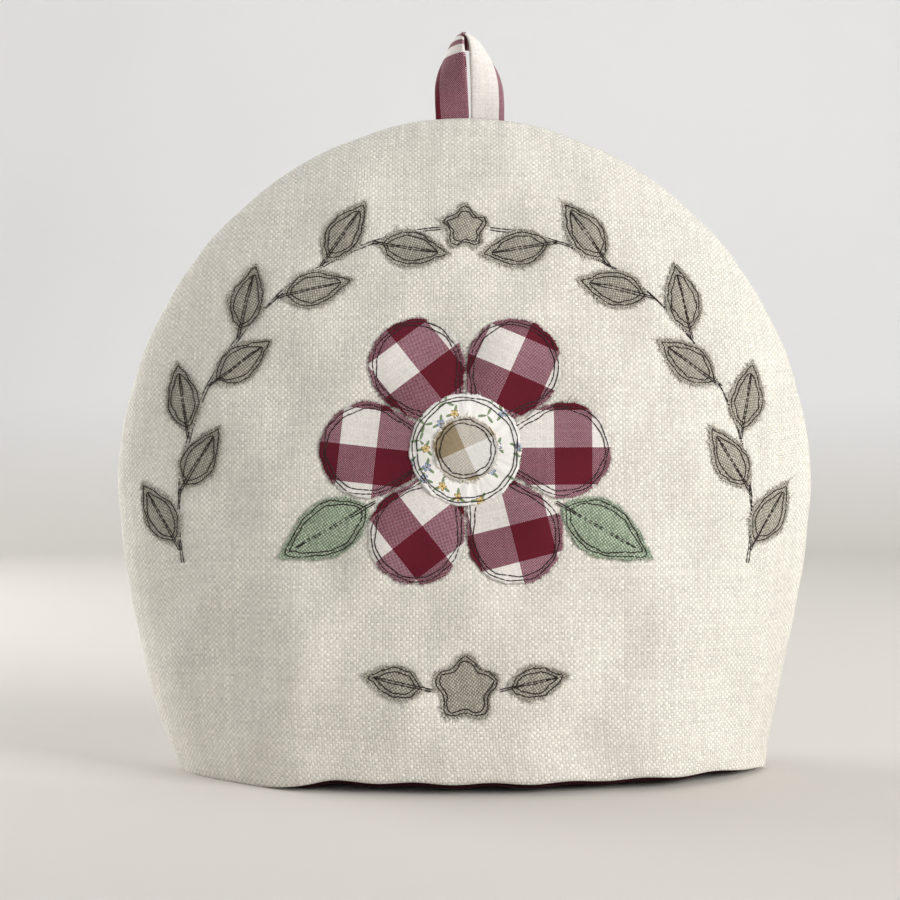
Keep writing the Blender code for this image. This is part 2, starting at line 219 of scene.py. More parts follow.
# The patches' cloth: how it lies on the linen and how it was cut
PATCH_LIFT = 0.15 * MM
PATCH_CLOTH = 0.45 * MM
PATCH_LEVEL = 0.6 * MM
PATCH_RINGS = 8
RING_CROWDING = 1.5
LEAF_STEPS = 41
LOBE_STEPS = 61
ROUND_STEPS = 120
LOBED_STEPS = 160
CUT_SPACING = 0.6 * MM
CUT_WAVES = (5, 9, 14, 23)
CUT_WAVER = 0.28 * MM
CUT_STEPS = (-0.2 * MM, 0.16 * MM)
CURL_MEAN = 0.3 * MM
CURL_CHANGE = 0.22 * MM
CURL_WAVES = (2, 3, 5, 8)
CURL_REACH = 0.9 * MM
RIPPLE = 0.1 * MM
RIPPLE_WAVES = (11, 17, 23)
RIPPLE_REACH = 2.5 * MM
PADDING = 0.3 * MM
PADDING_FADE = (4 * MM, 10 * MM)
THIN_EDGE = 0.7
THIN_EDGE_WIDTH = 1.2 * MM

# The sewing: two wobbling rows of dark thread inside each raw edge
ROW_INSETS = (1.35 * MM, 3.0 * MM)
ROW_WAVER = 0.42 * MM
ROW_WAVES = (3, 5, 8, 13)
STITCH_LENGTH = 2.7 * MM
THREAD_RADIUS = 0.28 * MM
DIP_DEPTH = 0.7 * MM
DIP_WIDTH = 1.7 * MM

# The camera stands level with the middle of the front
CAMERA_PLACE = (-7 * MM, -780 * MM, 152 * MM)
CAMERA_LENS = 65.2


# ---- the panels' form

def crown_level(across, rise):
    """How far out a place of the crown lies: 0 in its middle, 1 on its outline."""
    return (np.abs(across) ** CROWN_POWER + rise ** CROWN_POWER) ** (1 / CROWN_POWER)


def half_width(z, inset=0.0):
    """Half the width of a layer's outline at height z."""
    crown = CROWN_HEIGHT - inset - WIDEST_HEIGHT
    rise = np.clip((z - WIDEST_HEIGHT) / crown, 0.0, 1.0)
    fall = np.clip((WIDEST_HEIGHT - z) / WIDEST_HEIGHT, 0.0, None)
    upper = (HALF_WIDTH - inset) * (1 - rise ** CROWN_POWER) ** (1 / CROWN_POWER)
    lower = HALF_WIDTH - inset - (HALF_WIDTH - HEM_HALF_WIDTH) * fall ** SKIRT_POWER
    return np.where(z >= WIDEST_HEIGHT, upper, lower)


def hem_height(side, x):
    """Height of a panel's hem; the front one is lifted between its corner fold and the seam."""
    if side == "back":
        return np.zeros_like(x)
    lift = smooth_step(x, *LIFT_LEFT) * smooth_step(x, *LIFT_RIGHT)
    return lift * (HEM_LIFT + HEM_RIPPLE * np.sin(CIRCLE * x / HEM_RIPPLE_LENGTH))


def fold_depth(side, x, z):
    """How far the soft folds push the cloth out."""
    total = np.zeros_like(x)
    for fold in FOLDS:
        if fold["side"] == side:
            off = (x / MM - fold["x"]) / fold["spread"]
            fade = 1 - smooth_step(z / MM, fold["fade_start"], fold["fade_end"])
            total += fold["height"] * MM * fade * np.exp(-off * off)
    return total


def belly(side, x, z, inset=0.0, sink=0.0):
    """Distance of a layer from its own seam edge, sunk below the outermost one."""
    rise = np.clip(z / (CROWN_HEIGHT - inset), 0.0, 1.0)
    across = np.clip(np.abs(x) / np.maximum(half_width(z, inset), MM), 0.0, 1.0)
    middle = (HEM_DEPTH - sink) * (1 - rise ** RISE_POWER) ** RISE_ROUNDING
    return (middle + fold_depth(side, x, z)) * (1 - across ** SIDE_POWER) ** SIDE_ROUNDING


def outline_point(u, v, inset, hem):
    """Map a square to the panel: its upper half to the crown, its lower half to the skirt."""
    up = np.maximum(v, 0.0)
    across = u * np.sqrt(1 - up * up / 2)
    rise = up * np.sqrt(1 - u * u / 2)
    swell = np.hypot(across, rise) / np.maximum(crown_level(across, rise), 1e-9)
    crown_x = (HALF_WIDTH - inset) * across * swell
    crown_z = WIDEST_HEIGHT + (CROWN_HEIGHT - inset - WIDEST_HEIGHT) * rise * swell
    skirt_z = hem + (WIDEST_HEIGHT - hem) * (1 + v)
    skirt_x = u * half_width(skirt_z, inset)
    return np.where(v > 0, crown_x, skirt_x), np.where(v > 0, crown_z, skirt_z)


def seam_half_gap(x, z):
    """Half the space in the seam: wider at the crown, where the loop's ends go in."""
    opening = smooth_step(np.abs(x), LOOP_SLOT_HALF_WIDTH + LOOP_SLOT_FADE, LOOP_SLOT_HALF_WIDTH)
    opening = opening * smooth_step(z, *LOOP_SLOT)
    return SEAM_HALF_GAP + (LOOP_SLOT_HALF_GAP - SEAM_HALF_GAP) * opening


# ---- small relief of the linen

WAVES = table(
    "side across up turn height",
    ("front", 96, 71, 0.4, 0.70),
    ("front", -57, 88, 1.9, 0.60),
    ("front", 41, 133, 3.1, 0.40),
    ("front", 31, -47, 5.2, 0.28),
    ("back", 84, 79, 2.2, 0.60),
    ("back", -63, 97, 0.7, 0.45),
    ("back", 38, -58, 4.0, 0.30),
)
WAVE_FADE_AT_SEAM = 30 * MM
WAVE_FADE_AT_HEM = (2 * MM, 22 * MM)
PUCKERS = table(
    "length turn height",
    (9.3, 0.3, 0.34), (7.1, 2.1, 0.24), (13.7, 4.4, 0.30), (5.3, 1.2, 0.12))
PUCKER_START = 2 * MM
PUCKER_REACH = 6 * MM
PUCKER_CHANGE = 0.3
PUCKER_CHANGE_LENGTH = 31 * MM
SEAM_WOBBLE = 0.3 * MM
SEAM_WOBBLES = table("length turn share", (8.7, 0.0, 1.0), (5.2, 2.0, 0.7))
SEAM_WOBBLE_FADE = 12 * MM
SEAM_WOBBLE_POWER = 12
SLOPE_STEP = 0.5 * MM
CLOTH_TABLE = (332, 623)


def seam_turn(x, z):
    """Place along the seam: the arc length of a circle of the panel's half width."""
    return np.arctan2(z - WIDEST_HEIGHT, x) * HALF_WIDTH


def seam_distance(x, z):
    """Distance to the seam, near enough for what fades out beside it."""
    rise = np.clip((z - WIDEST_HEIGHT) / (CROWN_HEIGHT - WIDEST_HEIGHT), 0.0, 1.0)
    beside = (1 - crown_level(x / HALF_WIDTH, rise)) * HALF_WIDTH
    return np.where(z > WIDEST_HEIGHT, beside, half_width(z) - np.abs(x))


def relief(side, x, z):
    """Soft waves all over, and puckers where the seam draws the linen in."""
    total = np.zeros_like(x)
    for wave in WAVES:
        if wave["side"] == side:
            phase = x / (wave["across"] * MM) + z / (wave["up"] * MM)
            total += wave["height"] * MM * np.sin(CIRCLE * phase + wave["turn"])
    away = np.maximum(seam_distance(x, z), 0.0)
    total *= smooth_step(away, 0.0, WAVE_FADE_AT_SEAM) * smooth_step(z, *WAVE_FADE_AT_HEM)
    place = seam_turn(x, z)
    pull = sum(
        row["height"] * MM * np.sin(CIRCLE * place / (row["length"] * MM) + row["turn"])
        for row in PUCKERS
    )
    pull *= 1 - PUCKER_CHANGE + PUCKER_CHANGE * np.sin(place / PUCKER_CHANGE_LENGTH)
    return total + pull * np.exp(-away / PUCKER_REACH) * smooth_step(away, 0.0, PUCKER_START)


def seam_shift(x, z, u, v):
    """Move points near the seam inwards a little, the same on both panels."""
    place = seam_turn(x, z)
    wobble = sum(
        row["share"] * (np.sin(place / (row["length"] * MM) + row["turn"]) - 1)
        for row in SEAM_WOBBLES
    )
    wobble *= SEAM_WOBBLE / sum(row["share"] for row in SEAM_WOBBLES) / HALF_WIDTH
    wobble *= np.maximum(np.abs(u), np.maximum(v, 0.0)) ** SEAM_WOBBLE_POWER
    wobble *= smooth_step(z, 0.0, SEAM_WOBBLE_FADE)
    return x * (1 + wobble), z + (z - WIDEST_HEIGHT) * wobble * (z > WIDEST_HEIGHT)


class Dips:
    """Where the sewing draws the padded front in."""

    def __init__(self, rows):
        points = np.concatenate(rows)
        self.tree = KDTree(len(points))
        for index, (x, z) in enumerate(points):
            self.tree.insert((x, 0.0, z), index)
        self.tree.balance()

    def depth(self, x, z):
        away = [self.tree.find((a, 0.0, c))[2] for a, c in zip(x.ravel(), z.ravel())]
        return DIP_DEPTH * np.exp(-(np.reshape(away, x.shape) / DIP_WIDTH) ** 2)


def on_front(places, dips):
    """Points on the front panel's outer face, and the direction square to it at each."""
    x, z = places[..., 0], places[..., 1]

    def plain(at_x, at_z):
        return -belly("front", at_x, at_z) - seam_half_gap(at_x, at_z)

    y = plain(x, z) - relief("front", x, z) + dips.depth(x, z)
    step = SLOPE_STEP
    slope_x = (plain(x + step, z) - plain(x - step, z)) / (2 * step)
    slope_z = (plain(x, z + step) - plain(x, z - step)) / (2 * step)
    return join(x, y, z), unit(join(slope_x, -np.ones_like(x), slope_z))


def cloth_lengths():
    """Arc lengths across and up the cloth, on a table of places over half a panel."""
    columns, rows = CLOTH_TABLE
    x, z = np.meshgrid(
        np.linspace(0.0, HALF_WIDTH, columns), np.linspace(0.0, CROWN_HEIGHT, rows))
    depth = belly("plain", x, z)
    across = np.zeros_like(depth)
    up = np.zeros_like(depth)
    across[:, 1:] = np.cumsum(np.hypot(np.diff(x, axis=1), np.diff(depth, axis=1)), axis=1)
    up[1:] = np.cumsum(np.hypot(np.diff(z, axis=0), np.diff(depth, axis=0)), axis=0)
    return across, up


CLOTH_ACROSS, CLOTH_UP = cloth_lengths()


def cloth_place(x, z):
    """Where a point of a panel lies on the flat cloth, in metres."""
    rows, columns = CLOTH_ACROSS.shape
    column = np.clip(np.abs(x) / HALF_WIDTH * (columns - 1), 0, columns - 1.001)
    row = np.clip(z / CROWN_HEIGHT * (rows - 1), 0, rows - 1.001)
    c, r = column.astype(int), row.astype(int)
    dc, dr = column - c, row - r

    def read(lengths):
        low = lengths[r, c] * (1 - dc) + lengths[r, c + 1] * dc
        high = lengths[r + 1, c] * (1 - dc) + lengths[r + 1, c + 1] * dc
        return low * (1 - dr) + high * dr

    return join(np.sign(x) * read(CLOTH_ACROSS), read(CLOTH_UP))


def cut_place(points, centre, patch):
    """Where points of the front lie on a patch's own cloth, in metres."""
    local = cloth_place(*points.T) - cloth_place(centre[:1], centre[1:])
    return turned(local, patch.grain, patch.place)


# ---- meshes

def add_mesh(name, points, blocks, material, slot):
    """One piece from its points and blocks of faces, each with its flat coordinates."""
    mesh = bpy.data.meshes.new(name)
    faces = [face for block in blocks for face in block["faces"].tolist()]
    mesh.from_pydata(points.tolist(), [], faces)
    for map_name in ("cloth", "OFBake"):
        if map_name in blocks[0]:
            flat = np.concatenate([block[map_name].reshape(-1, 2) for block in blocks])
            mesh.uv_layers.new(name=map_name).data.foreach_set("uv", flat.ravel())
    mesh.materials.append(material)
    mesh.shade_smooth()
    item = add_to_scene(name, mesh)
    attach(item, "root")
    return item


OUTER_BAKE = (0.13, 1.0)
INNER_BAKE = (0.0, 0.10)
RIM_BAKE = (0.105, 0.125)
BAKE_MARGIN = 0.01


def rim_corners(count):
    """Flat coordinates of a strip of quads that joins two faces of a sheet."""
    start = np.arange(count) / count
    end = start + 1 / count
    low, high = np.full(count, RIM_BAKE[0]), np.full(count, RIM_BAKE[1])
    corners = [(start, high), (end, high), (end, low), (start, low)]
    return np.stack([join(*corner) for corner in corners], axis=1)


def closed_sheet(
        name, outer, inner, faces, rim, cloth, bake, material, slot, flip=False,
        inner_cloth=None):
    """Close two faces with the same points into one thin sheet, joined along the rim."""
    count = len(outer)
    inner_cloth = cloth if inner_cloth is None else inner_cloth
    blocks = []
    for first, flat, (low, high) in ((0, cloth, OUTER_BAKE), (count, inner_cloth, INNER_BAKE)):
        place = join(bake[:, 0], low + (high - low) * bake[:, 1])
        for part in faces:
            corners = part[:, ::-1] if (first > 0) != flip else part
            blocks.append({
                "faces": corners + first, "cloth": flat[corners], "OFBake": place[corners],
            })
    after = np.roll(rim, -1)
    corners, place = join(after, rim, rim + count, after + count), rim_corners(len(rim))
    if flip:
        corners, place = corners[:, ::-1], place[:, ::-1]
    blocks.append({"faces": corners, "cloth": cloth[corners % count], "OFBake": place})
    return add_mesh(name, np.concatenate([outer, inner]), blocks, material, slot)


def ring_quads(ring):
    """Quads between rings of points that each close on themselves, the rings one per row."""
    after = np.roll(ring, -1, axis=1)
    return join(ring[:-1], ring[1:], after[1:], after[:-1]).reshape(-1, 4)


def grid_sheet(name, outer, inner, cloth, material, slot, flip=False, inner_cloth=None):
    """A thin sheet from two grids of points, the same cloth on both faces or not."""
    rows, columns = outer.shape[:2]
    index = np.arange(rows * columns).reshape(rows, columns)
    quads = join(index[:-1, :-1], index[:-1, 1:], index[1:, 1:], index[1:, :-1]).reshape(-1, 4)
    rim = np.concatenate([index[0, :-1], index[:-1, -1], index[-1, :0:-1], index[:0:-1, 0]])
    bake = join(*np.meshgrid(np.linspace(0.0, 1.0, columns), np.linspace(0.0, 1.0, rows)))
    if inner_cloth is not None:
        inner_cloth = inner_cloth.reshape(-1, 2)
    return closed_sheet(
        name, outer.reshape(-1, 3), inner.reshape(-1, 3), [quads], rim, cloth.reshape(-1, 2),
        bake.reshape(-1, 2), material, slot, flip, inner_cloth)


def fan_sheet(name, outer, inner, rings, cloth, bake, material, slot):
    """A thin patch of cloth from two stacks of rings, each round a middle point."""
    ring = np.arange(1, len(outer)).reshape(rings, -1)
    after = np.roll(ring[0], -1)
    fans = join(np.zeros_like(after), ring[0], after)
    return closed_sheet(
        name, outer, inner, [fans, ring_quads(ring)], ring[-1], cloth, bake, material, slot)


def tubes(name, paths, radii, ups, sides, material, slot, cloth=None):
    """Many short threads joined into one mesh; paths holds a row of points for each."""
    count, steps = paths.shape[:2]
    along = unit(np.gradient(paths, axis=1))
    across = unit(np.cross(along, ups[:, None, :]))
    up = np.cross(across, along)
    turn = turns(sides)[:, None]
    spread = np.cos(turn) * across[:, :, None] + np.sin(turn) * up[:, :, None]
    points = paths[:, :, None] + radii[:, :, None, None] * spread
    index = np.arange(count * steps * sides).reshape(count, steps, sides)
    after = np.roll(index, -1, axis=2)
    quads = join(index[:, :-1], index[:, 1:], after[:, 1:], after[:, :-1]).reshape(-1, 4)
    blocks = [{"faces": part} for part in (quads, index[:, 0], index[:, -1, ::-1])]
    if cloth is not None:
        for block in blocks:
            block["cloth"] = cloth[block["faces"] // (steps * sides)]
    return add_mesh(name, points.reshape(-1, 3), blocks, material, slot)


# ---- panels and lining

def grid_places(name):
    """The square that a layer is made on: crowded at its borders, with close rows at the hem."""
    columns, skirt_rows, crown_rows = GRIDS[name]

    def crowded(start, count):
        even = np.linspace(start, 1.0, count + 1)
        return np.clip(even * (1 + EDGE_CROWDING) - EDGE_CROWDING * even ** 3, start, 1.0)

    hem = np.array(HEM_STEPS) * MM / WIDEST_HEIGHT - 1
    skirt = np.linspace(hem[-1], 0.0, skirt_rows + 1)[1:]
    crown = crowded(0.0, crown_rows)[1:]
    return np.meshgrid(crowded(-1.0, columns), np.concatenate([hem, skirt, crown]))


def hem_sway(z):
    """The skirt stands a little to the right at the hem."""
    return HEM_SWAY * np.maximum(0.0, 1 - z / HEM_SWAY_HEIGHT) ** 2


def hem_tuck(height, room, radius):
    """How far the rounded hem draws one face of its sheet towards the other."""
    low = 1 - np.clip(height / radius, 0.0, 1.0)
    return HEM_TUCK * room * (1 - np.sqrt(1 - low ** 2))


def on_seam(u, v):
    return (np.abs(u) == 1) | (v == 1)


def layer_face(side, u, v, kind, inset, sink):
    """One face of a layer: its places seen from the front, its depth and its hem."""
    hem = hem_height(side, u * (HEM_HALF_WIDTH - inset))
    if kind == "lining":
        hem = np.maximum(LINING_FLOOR_GAP, hem - LINING_SHOWS)
    x, z = outline_point(u, v, inset, hem)
    depth = np.where(on_seam(u, v), 0.0, belly(side, x, z, inset, sink))
    return x, depth + (SEAM_HALF_GAP if kind == "lining" else seam_half_gap(x, z)), z, hem


def make_layer(node, side, kind, material, dips=None):
    """One cloth layer as a closed sheet with a rounded hem."""
    layer = LAYERS[kind]
    inset, sink, thickness = layer["inset"], layer["sink"], layer["thickness"]
    u, v = grid_places(node)
    x, depth, z, hem = layer_face(side, u, v, kind, inset, sink)
    inner_x, inner_depth, inner_z, inner_hem = layer_face(
        side, u, v, kind, inset + layer["edge"], sink + thickness)
    cloth = cloth_place(x, z)
    room = depth - inner_depth
    if kind == "panel":
        depth = depth + np.where(on_seam(u, v), 0.0, relief(side, x, z))
        if dips:
            depth = depth - dips.depth(x, z)
        x, z = seam_shift(x, z, u, v)
    radius = min(HEM_ROUNDING, 0.5 * thickness)
    depth = depth - hem_tuck(z - hem, room, radius)
    inner_depth = inner_depth + hem_tuck(inner_z - inner_hem, room, radius)
    sign = -1 if side == "front" else 1
    outer = join(x + hem_sway(z), sign * depth, z)
    inner = join(inner_x + hem_sway(inner_z), sign * inner_depth, inner_z)
    piece = grid_sheet(
        f"{node}_{layer['cloth']}", outer, inner, cloth, material, layer["slot"],
        flip=side == "back")
    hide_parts(node)
    return piece


# ---- the hanging loop

LOOP_STEPS = 12
LOOP_COLUMNS = 14
LOOP_THIN_EDGE = 0.65
LOOP_EDGE_POWER = 8
LOOP_UNEVEN = 0.12
LOOP_UNEVEN_TURN = 7


def loop_leg(side):
    """Front edge, rear edge and bow along one leg, on a smooth curve through its table."""
    rows = np.array(LEG_ROWS)
    last = len(rows) - 1
    position = np.linspace(0, last, last * LOOP_STEPS + 1)
    row = np.minimum(position.astype(int), last - 1)
    share = (position - row)[:, None]
    before, here, there, after = (
        rows[np.clip(row + offset, 0, last)] for offset in (-1, 0, 1, 2)
    )
    bend = (2 * before - 5 * here + 4 * there - after) * share ** 2
    twist = (3 * (here - there) + after - before) * share ** 3
    values = 0.5 * (2 * here + (there - before) * share + bend + twist) * MM
    station = dict(zip(LEG_COLUMNS, values.T))
    middle = LOOP_X + ARCH_LEAN * (position / last) ** 2
    edges = [
        join(
            middle + side * station[f"{edge}_x"], station[f"{edge}_y"],
            CROWN_HEIGHT + station[f"{edge}_z"])
        for edge in ("front", "rear")
    ]
    return (*edges, station["bow"])


def make_loop(material):
    """The folded strip, from its left end over the arch to its right end."""
    front, rear, bow = (
        np.concatenate([left, right[-2::-1]])
        for left, right in zip(loop_leg(-1), loop_leg(1))
    )
    middle = (front + rear) / 2
    inward = unit(np.cross(np.gradient(middle, axis=0), front - rear))
    share = np.linspace(0.0, 1.0, LOOP_COLUMNS + 1)
    plump = np.maximum(LOOP_THIN_EDGE, np.sqrt(1 - np.abs(2 * share - 1) ** LOOP_EDGE_POWER))
    plump = plump * (1 + LOOP_UNEVEN * np.sin(LOOP_UNEVEN_TURN * share))
    strip = rear[:, None] + (front - rear)[:, None] * share[:, None]
    strip -= inward[:, None] * (bow[:, None] * 4 * share * (1 - share))[..., None]
    shift = inward[:, None] * (LOOP_THICKNESS / 2 * plump)[:, None]
    length = reaches(middle)
    width = np.linalg.norm(front - rear, axis=-1)
    cloth = join(width[:, None] * share, length[:, None] * np.ones_like(share))
    # The inner face reads the cloth mirrored, so all of it falls in the dark edge stripe: burgundy
    # cloth inside the fold, made dark all over as painted shade under the arch.
    piece = grid_sheet(
        "hanging_loop_gingham", strip - shift, strip + shift, cloth, material,
        "burgundy_gingham", inner_cloth=cloth * (-1, 1))
    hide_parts("hanging_loop")
    return piece


# ---- the patches

def resample(points, spacing):
    """The same closed line with evenly spaced points."""
    closed = np.vstack([points, points[:1]])
    reach = reaches(closed)
    count = max(int(round(reach[-1] / spacing)), 8)
    at = np.arange(count) * reach[-1] / count
    return join(*(np.interp(at, reach, values) for values in closed.T))


def turned(points, angle, place):
    """Turn points about their origin by an angle up from +X, in degrees, then move them."""
    cosine, sine = math.cos(math.radians(angle)), math.sin(math.radians(angle))
    x, z = points.T
    return join(x * cosine - z * sine, x * sine + z * cosine) + place


def outward_of(points):
    """The direction out of a closed line, at each of its points."""
    along = np.roll(points, -1, axis=0) - np.roll(points, 1, axis=0)
    return unit(join(along[:, 1], -along[:, 0]))


def wavy(count, waves, random):
    """Smooth random values round a closed line, about -1 to 1."""
    turn = turns(count)
    parts = [np.sin(wave * turn + random.uniform(0, CIRCLE)) for wave in waves]
    return np.sum(parts, axis=0) / math.sqrt(len(waves))


def leaf_shape(size):
    """A pointed leaf that grows from its foot at the origin along +X."""
    def shape(inset):
        length, width = size
        share = (1 - np.cos(math.pi * np.linspace(0, 1, LEAF_STEPS))) / 2
        x = LEAF_FOOT_INSET * inset + (length - LEAF_LENGTH_INSET * inset) * share
        spread = (width / 2 - inset) * np.sin(math.pi * share ** LEAF_FULLEST)
        return np.concatenate([join(x, -spread), join(x, spread)[-2:0:-1]])
    return shape


def petal_shape(inset):
    """A petal with a narrow foot and a round lobe, growing from the origin along +X."""
    turn = np.radians(np.linspace(-LOBE_HALF_ARC, LOBE_HALF_ARC, LOBE_STEPS))
    lobe = (LOBE_RADIUS - inset) * on_circle(turn) + (LOBE_CENTRE, 0.0)
    foot_x, half = PETAL_FOOT + inset, PETAL_FOOT_HALF_WIDTH - PETAL_FOOT_INSET * inset
    return np.concatenate([[(foot_x, half), (foot_x, -half)], lobe])


def round_shape(radius):
    """A round patch."""
    return lambda inset: (radius - inset) * on_circle(turns(ROUND_STEPS))


def lobed_shape(radius):
    """A small five-lobed flower."""
    def shape(inset):
        turn = turns(LOBED_STEPS)
        reach = radius * (1 - LOBE_DEPTH + LOBE_DEPTH * np.cos(LOBES * turn)) - inset
        return reach[:, None] * on_circle(turn + math.pi / 2)
    return shape


@dataclass
class Patch:
    """One cloth patch: its cut shape, its place on the front and the cloth it is cut from."""
    node: str
    cloth: str
    shape: Callable
    flat: tuple
    angle: float
    place: tuple
    level: int = 0
    grain: float = 0.0
    vein: tuple = ()

    def outline(self, inset, spacing):
        return turned(resample(self.shape(inset), spacing), self.angle, self.place)

    def cut_edge(self):
        """The raw edge: wavering as scissors leave it, with small steps at the threads."""
        points = self.outline(0.0, CUT_SPACING)
        random = dice(f"{self.node} cut")
        waver = CUT_WAVER * wavy(len(points), CUT_WAVES, random)
        steps = random.uniform(*CUT_STEPS, len(points))
        return points + outward_of(points) * (waver + steps)[:, None]

    def height(self):
        """How far the top of the cloth lies off the linen."""
        return PATCH_LIFT + self.level * PATCH_LEVEL + PATCH_CLOTH


PETAL_GRAINS = (0, 24, -38, 6, 52, -14)
LEAF_GRAINS = (8, -22, 31, -6, 17, -35, 3, 26)
VEIN = (-3.5 * MM, 0.8)


def both_sides(angle):
    """The same angle up on the right and on the left."""
    return ("right", angle), ("left", 180 - angle)


def leaf(node, cloth, size, angle, foot, grain):
    return Patch(node, cloth, leaf_shape(size), size, angle, foot, grain=grain, vein=VEIN)


def blossom(node, cloth, shape, radius, height, grain, level=0):
    """A patch that is much the same all round, on the middle line of the front."""
    return Patch(
        node, cloth, shape(radius), (2 * radius, 2 * radius), 0, (0.0, height), level, grain)


def flower_patches():
    place = (0.0, FLOWER_Z)
    petal_size = (LOBE_CENTRE + LOBE_RADIUS - PETAL_FOOT, 2 * LOBE_RADIUS)
    patches = [
        Patch(
            f"petal_{index + 1}", "gingham", petal_shape, petal_size,
            360 * index / PETALS, place, grain=PETAL_GRAINS[index])
        for index in range(PETALS)
    ]
    patches += [
        blossom("flower_disc", "floral", round_shape, FLOWER_DISC_RADIUS, FLOWER_Z, 12, 1),
        blossom("flower_centre", "check", round_shape, FLOWER_CENTRE_RADIUS, FLOWER_Z, -24, 2),
    ]
    for side, angle in both_sides(SAGE_LEAF_ANGLE):
        foot = turned(np.array([[SAGE_LEAF_FOOT, 0.0]]), angle, place)[0]
        patches.append(leaf(f"sage_leaf_{side}", "sage", SAGE_LEAF, angle, foot, 9))
    return patches


def garland_patches():
    """Leaves in turn outside and inside a stem that arches over the flower, and a blossom on top."""
    span = (GARLAND_END_ANGLE - GARLAND_TOP_ANGLE) / GARLAND_LEAVES
    patches = []
    for side, sign in (("left", -1), ("right", 1)):
        for index in range(GARLAND_LEAVES):
            swing = GARLAND_END_ANGLE - index * span
            outward = 1 if index % 2 == 0 else -1
            radius = GARLAND_RADIUS + outward * GARLAND_STEM_GAP
            foot = (
                sign * radius * math.sin(math.radians(swing)),
                GARLAND_Z + radius * math.cos(math.radians(swing)),
            )
            angle = 90 + sign * (90 - swing) - sign * outward * GARLAND_LEAF_TILT
            name = f"garland_leaf_{side}_{index + 1}"
            patches.append(leaf(
                name, "hopsack", GARLAND_LEAF, angle, foot, sign * LEAF_GRAINS[index]))
    patches.append(blossom(
        "garland_flower", "hopsack", lobed_shape, GARLAND_FLOWER_RADIUS,
        GARLAND_Z + GARLAND_RADIUS, 15))
    return patches


def sprig_patches():
    patches = [blossom("sprig_flower", "hopsack", lobed_shape, SPRIG_FLOWER_RADIUS, SPRIG_Z, -8)]
    for side, angle in both_sides(SPRIG_LEAF_ANGLE):
        foot = (math.copysign(SPRIG_LEAF_FOOT, math.cos(math.radians(angle))), SPRIG_Z)
        patches.append(leaf(f"sprig_leaf_{side}", "hopsack", SPRIG_LEAF, angle, foot, 12))
    return patches


# The patches' cloths: their slots and their frays, in millimetres and shares
CLOTHS = keyed(
    "cloth slot spacing length spread thickness slant",
    ("gingham", "burgundy_gingham", 0.5, 0.6, 0.4, 0.12, 0.4),
    ("floral", "floral_cotton", 0.7, 0.35, 0.4, 0.08, 0.4),
    ("check", "taupe_check", 0.55, 1.0, 0.3, 0.25, 0.25),
    ("sage", "sage_cotton", 0.65, 0.7, 0.35, 0.18, 0.35),
    ("hopsack", "grey_hopsack", 0.78, 0.9, 0.45, 0.2, 0.45),
)


def make_patch(patch, dips, material):
    """A thin patch that follows the padded front, with a raw edge that lifts a little."""
    edge = patch.cut_edge()
    centre = edge.mean(axis=0)
    shares = 1 - (1 - np.arange(1, PATCH_RINGS + 1) / PATCH_RINGS) ** RING_CROWDING
    rings = centre + (edge - centre) * shares[:, None, None]
    places = np.concatenate([centre[None], rings.reshape(-1, 2)])
    away = np.sqrt(((places[:, None] - edge[None]) ** 2).sum(axis=-1)).min(axis=1)
    random = dice(f"{patch.node} curl")

    def waves(steps):
        return np.concatenate([[0.0], np.tile(wavy(len(edge), steps, random), PATCH_RINGS)])

    curl = CURL_MEAN + CURL_CHANGE * waves(CURL_WAVES)
    lift = patch.height() - PATCH_CLOTH + curl * np.exp(-away / CURL_REACH)
    lift += RIPPLE * waves(RIPPLE_WAVES) * np.exp(-away / RIPPLE_REACH)
    lift += PADDING * smooth_step(away, *PADDING_FADE)
    thick = PATCH_CLOTH * (THIN_EDGE + (1 - THIN_EDGE) * smooth_step(away, 0.0, THIN_EDGE_WIDTH))
    on_face, outward = on_front(places, dips)
    faces = [on_face + outward * offset[:, None] for offset in (lift + thick, lift)]
    cloth = cut_place(places, centre, patch)
    low, high = places.min(axis=0), places.max(axis=0)
    bake = BAKE_MARGIN + (1 - 2 * BAKE_MARGIN) * (places - low) / (high - low)
    piece = fan_sheet(
        f"{patch.node}_{patch.cloth}", *faces, PATCH_RINGS, cloth, bake, material,
        CLOTHS[patch.cloth]["slot"])
    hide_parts(patch.node)
    return piece


# ---- sewing and frayed threads

VEIN_ROWS = (-0.45 * MM, 0.45 * MM)
VEIN_TAPER = 6 * MM
VEIN_NARROWEST = 0.15
STEM_ROWS = (-0.5 * MM, 0.6 * MM)
STEM_FOOT_ANGLE = 4
ROW_STRAY = 0.12 * MM


def sewing_rows(patches):
    """Every row of stitches: its points, its patch, if any, and the piece of sewing it is in."""
    rows = []

    def add(group, patch, points):
        rows.append({"points": points, "patch": patch, "group": group})

    for patch in patches:
        random = dice(f"{patch.node} sewing")
        group = patch.node.split("_")[0]
        group = "flower" if group in ("petal", "sage") else group
        for inset in ROW_INSETS:
            points = patch.outline(inset, STITCH_LENGTH)
            waver = ROW_WAVER * wavy(len(points), ROW_WAVES, random)
            points = points + outward_of(points) * waver[:, None]
            add(group, patch, np.vstack([points, points[:1]]))
        if patch.vein:
            for beside in VEIN_ROWS:
                add(group, patch, vein_row(patch, beside, random))
    for beside in STEM_ROWS:
        for side in (-1, 1):
            add("garland", None, stem_row(side, beside, dice(f"stem {side} {beside}")))
    return rows


def open_waver(count, random):
    """Small smooth sideways steps along a row that isn't closed."""
    steps = np.cumsum(random.normal(0.0, ROW_STRAY, count))
    return steps - np.linspace(steps[0], steps[-1], count)


def vein_row(patch, beside, random):
    """One row of stitches up the middle of a leaf."""
    start, reach = patch.vein
    end = patch.flat[0] * reach
    count = int((end - start) / STITCH_LENGTH) + 1
    x = np.linspace(start, end, count)
    taper = np.clip((end - x) / VEIN_TAPER, VEIN_NARROWEST, 1.0)
    return turned(join(x, beside * taper + open_waver(count, random)), patch.angle, patch.place)


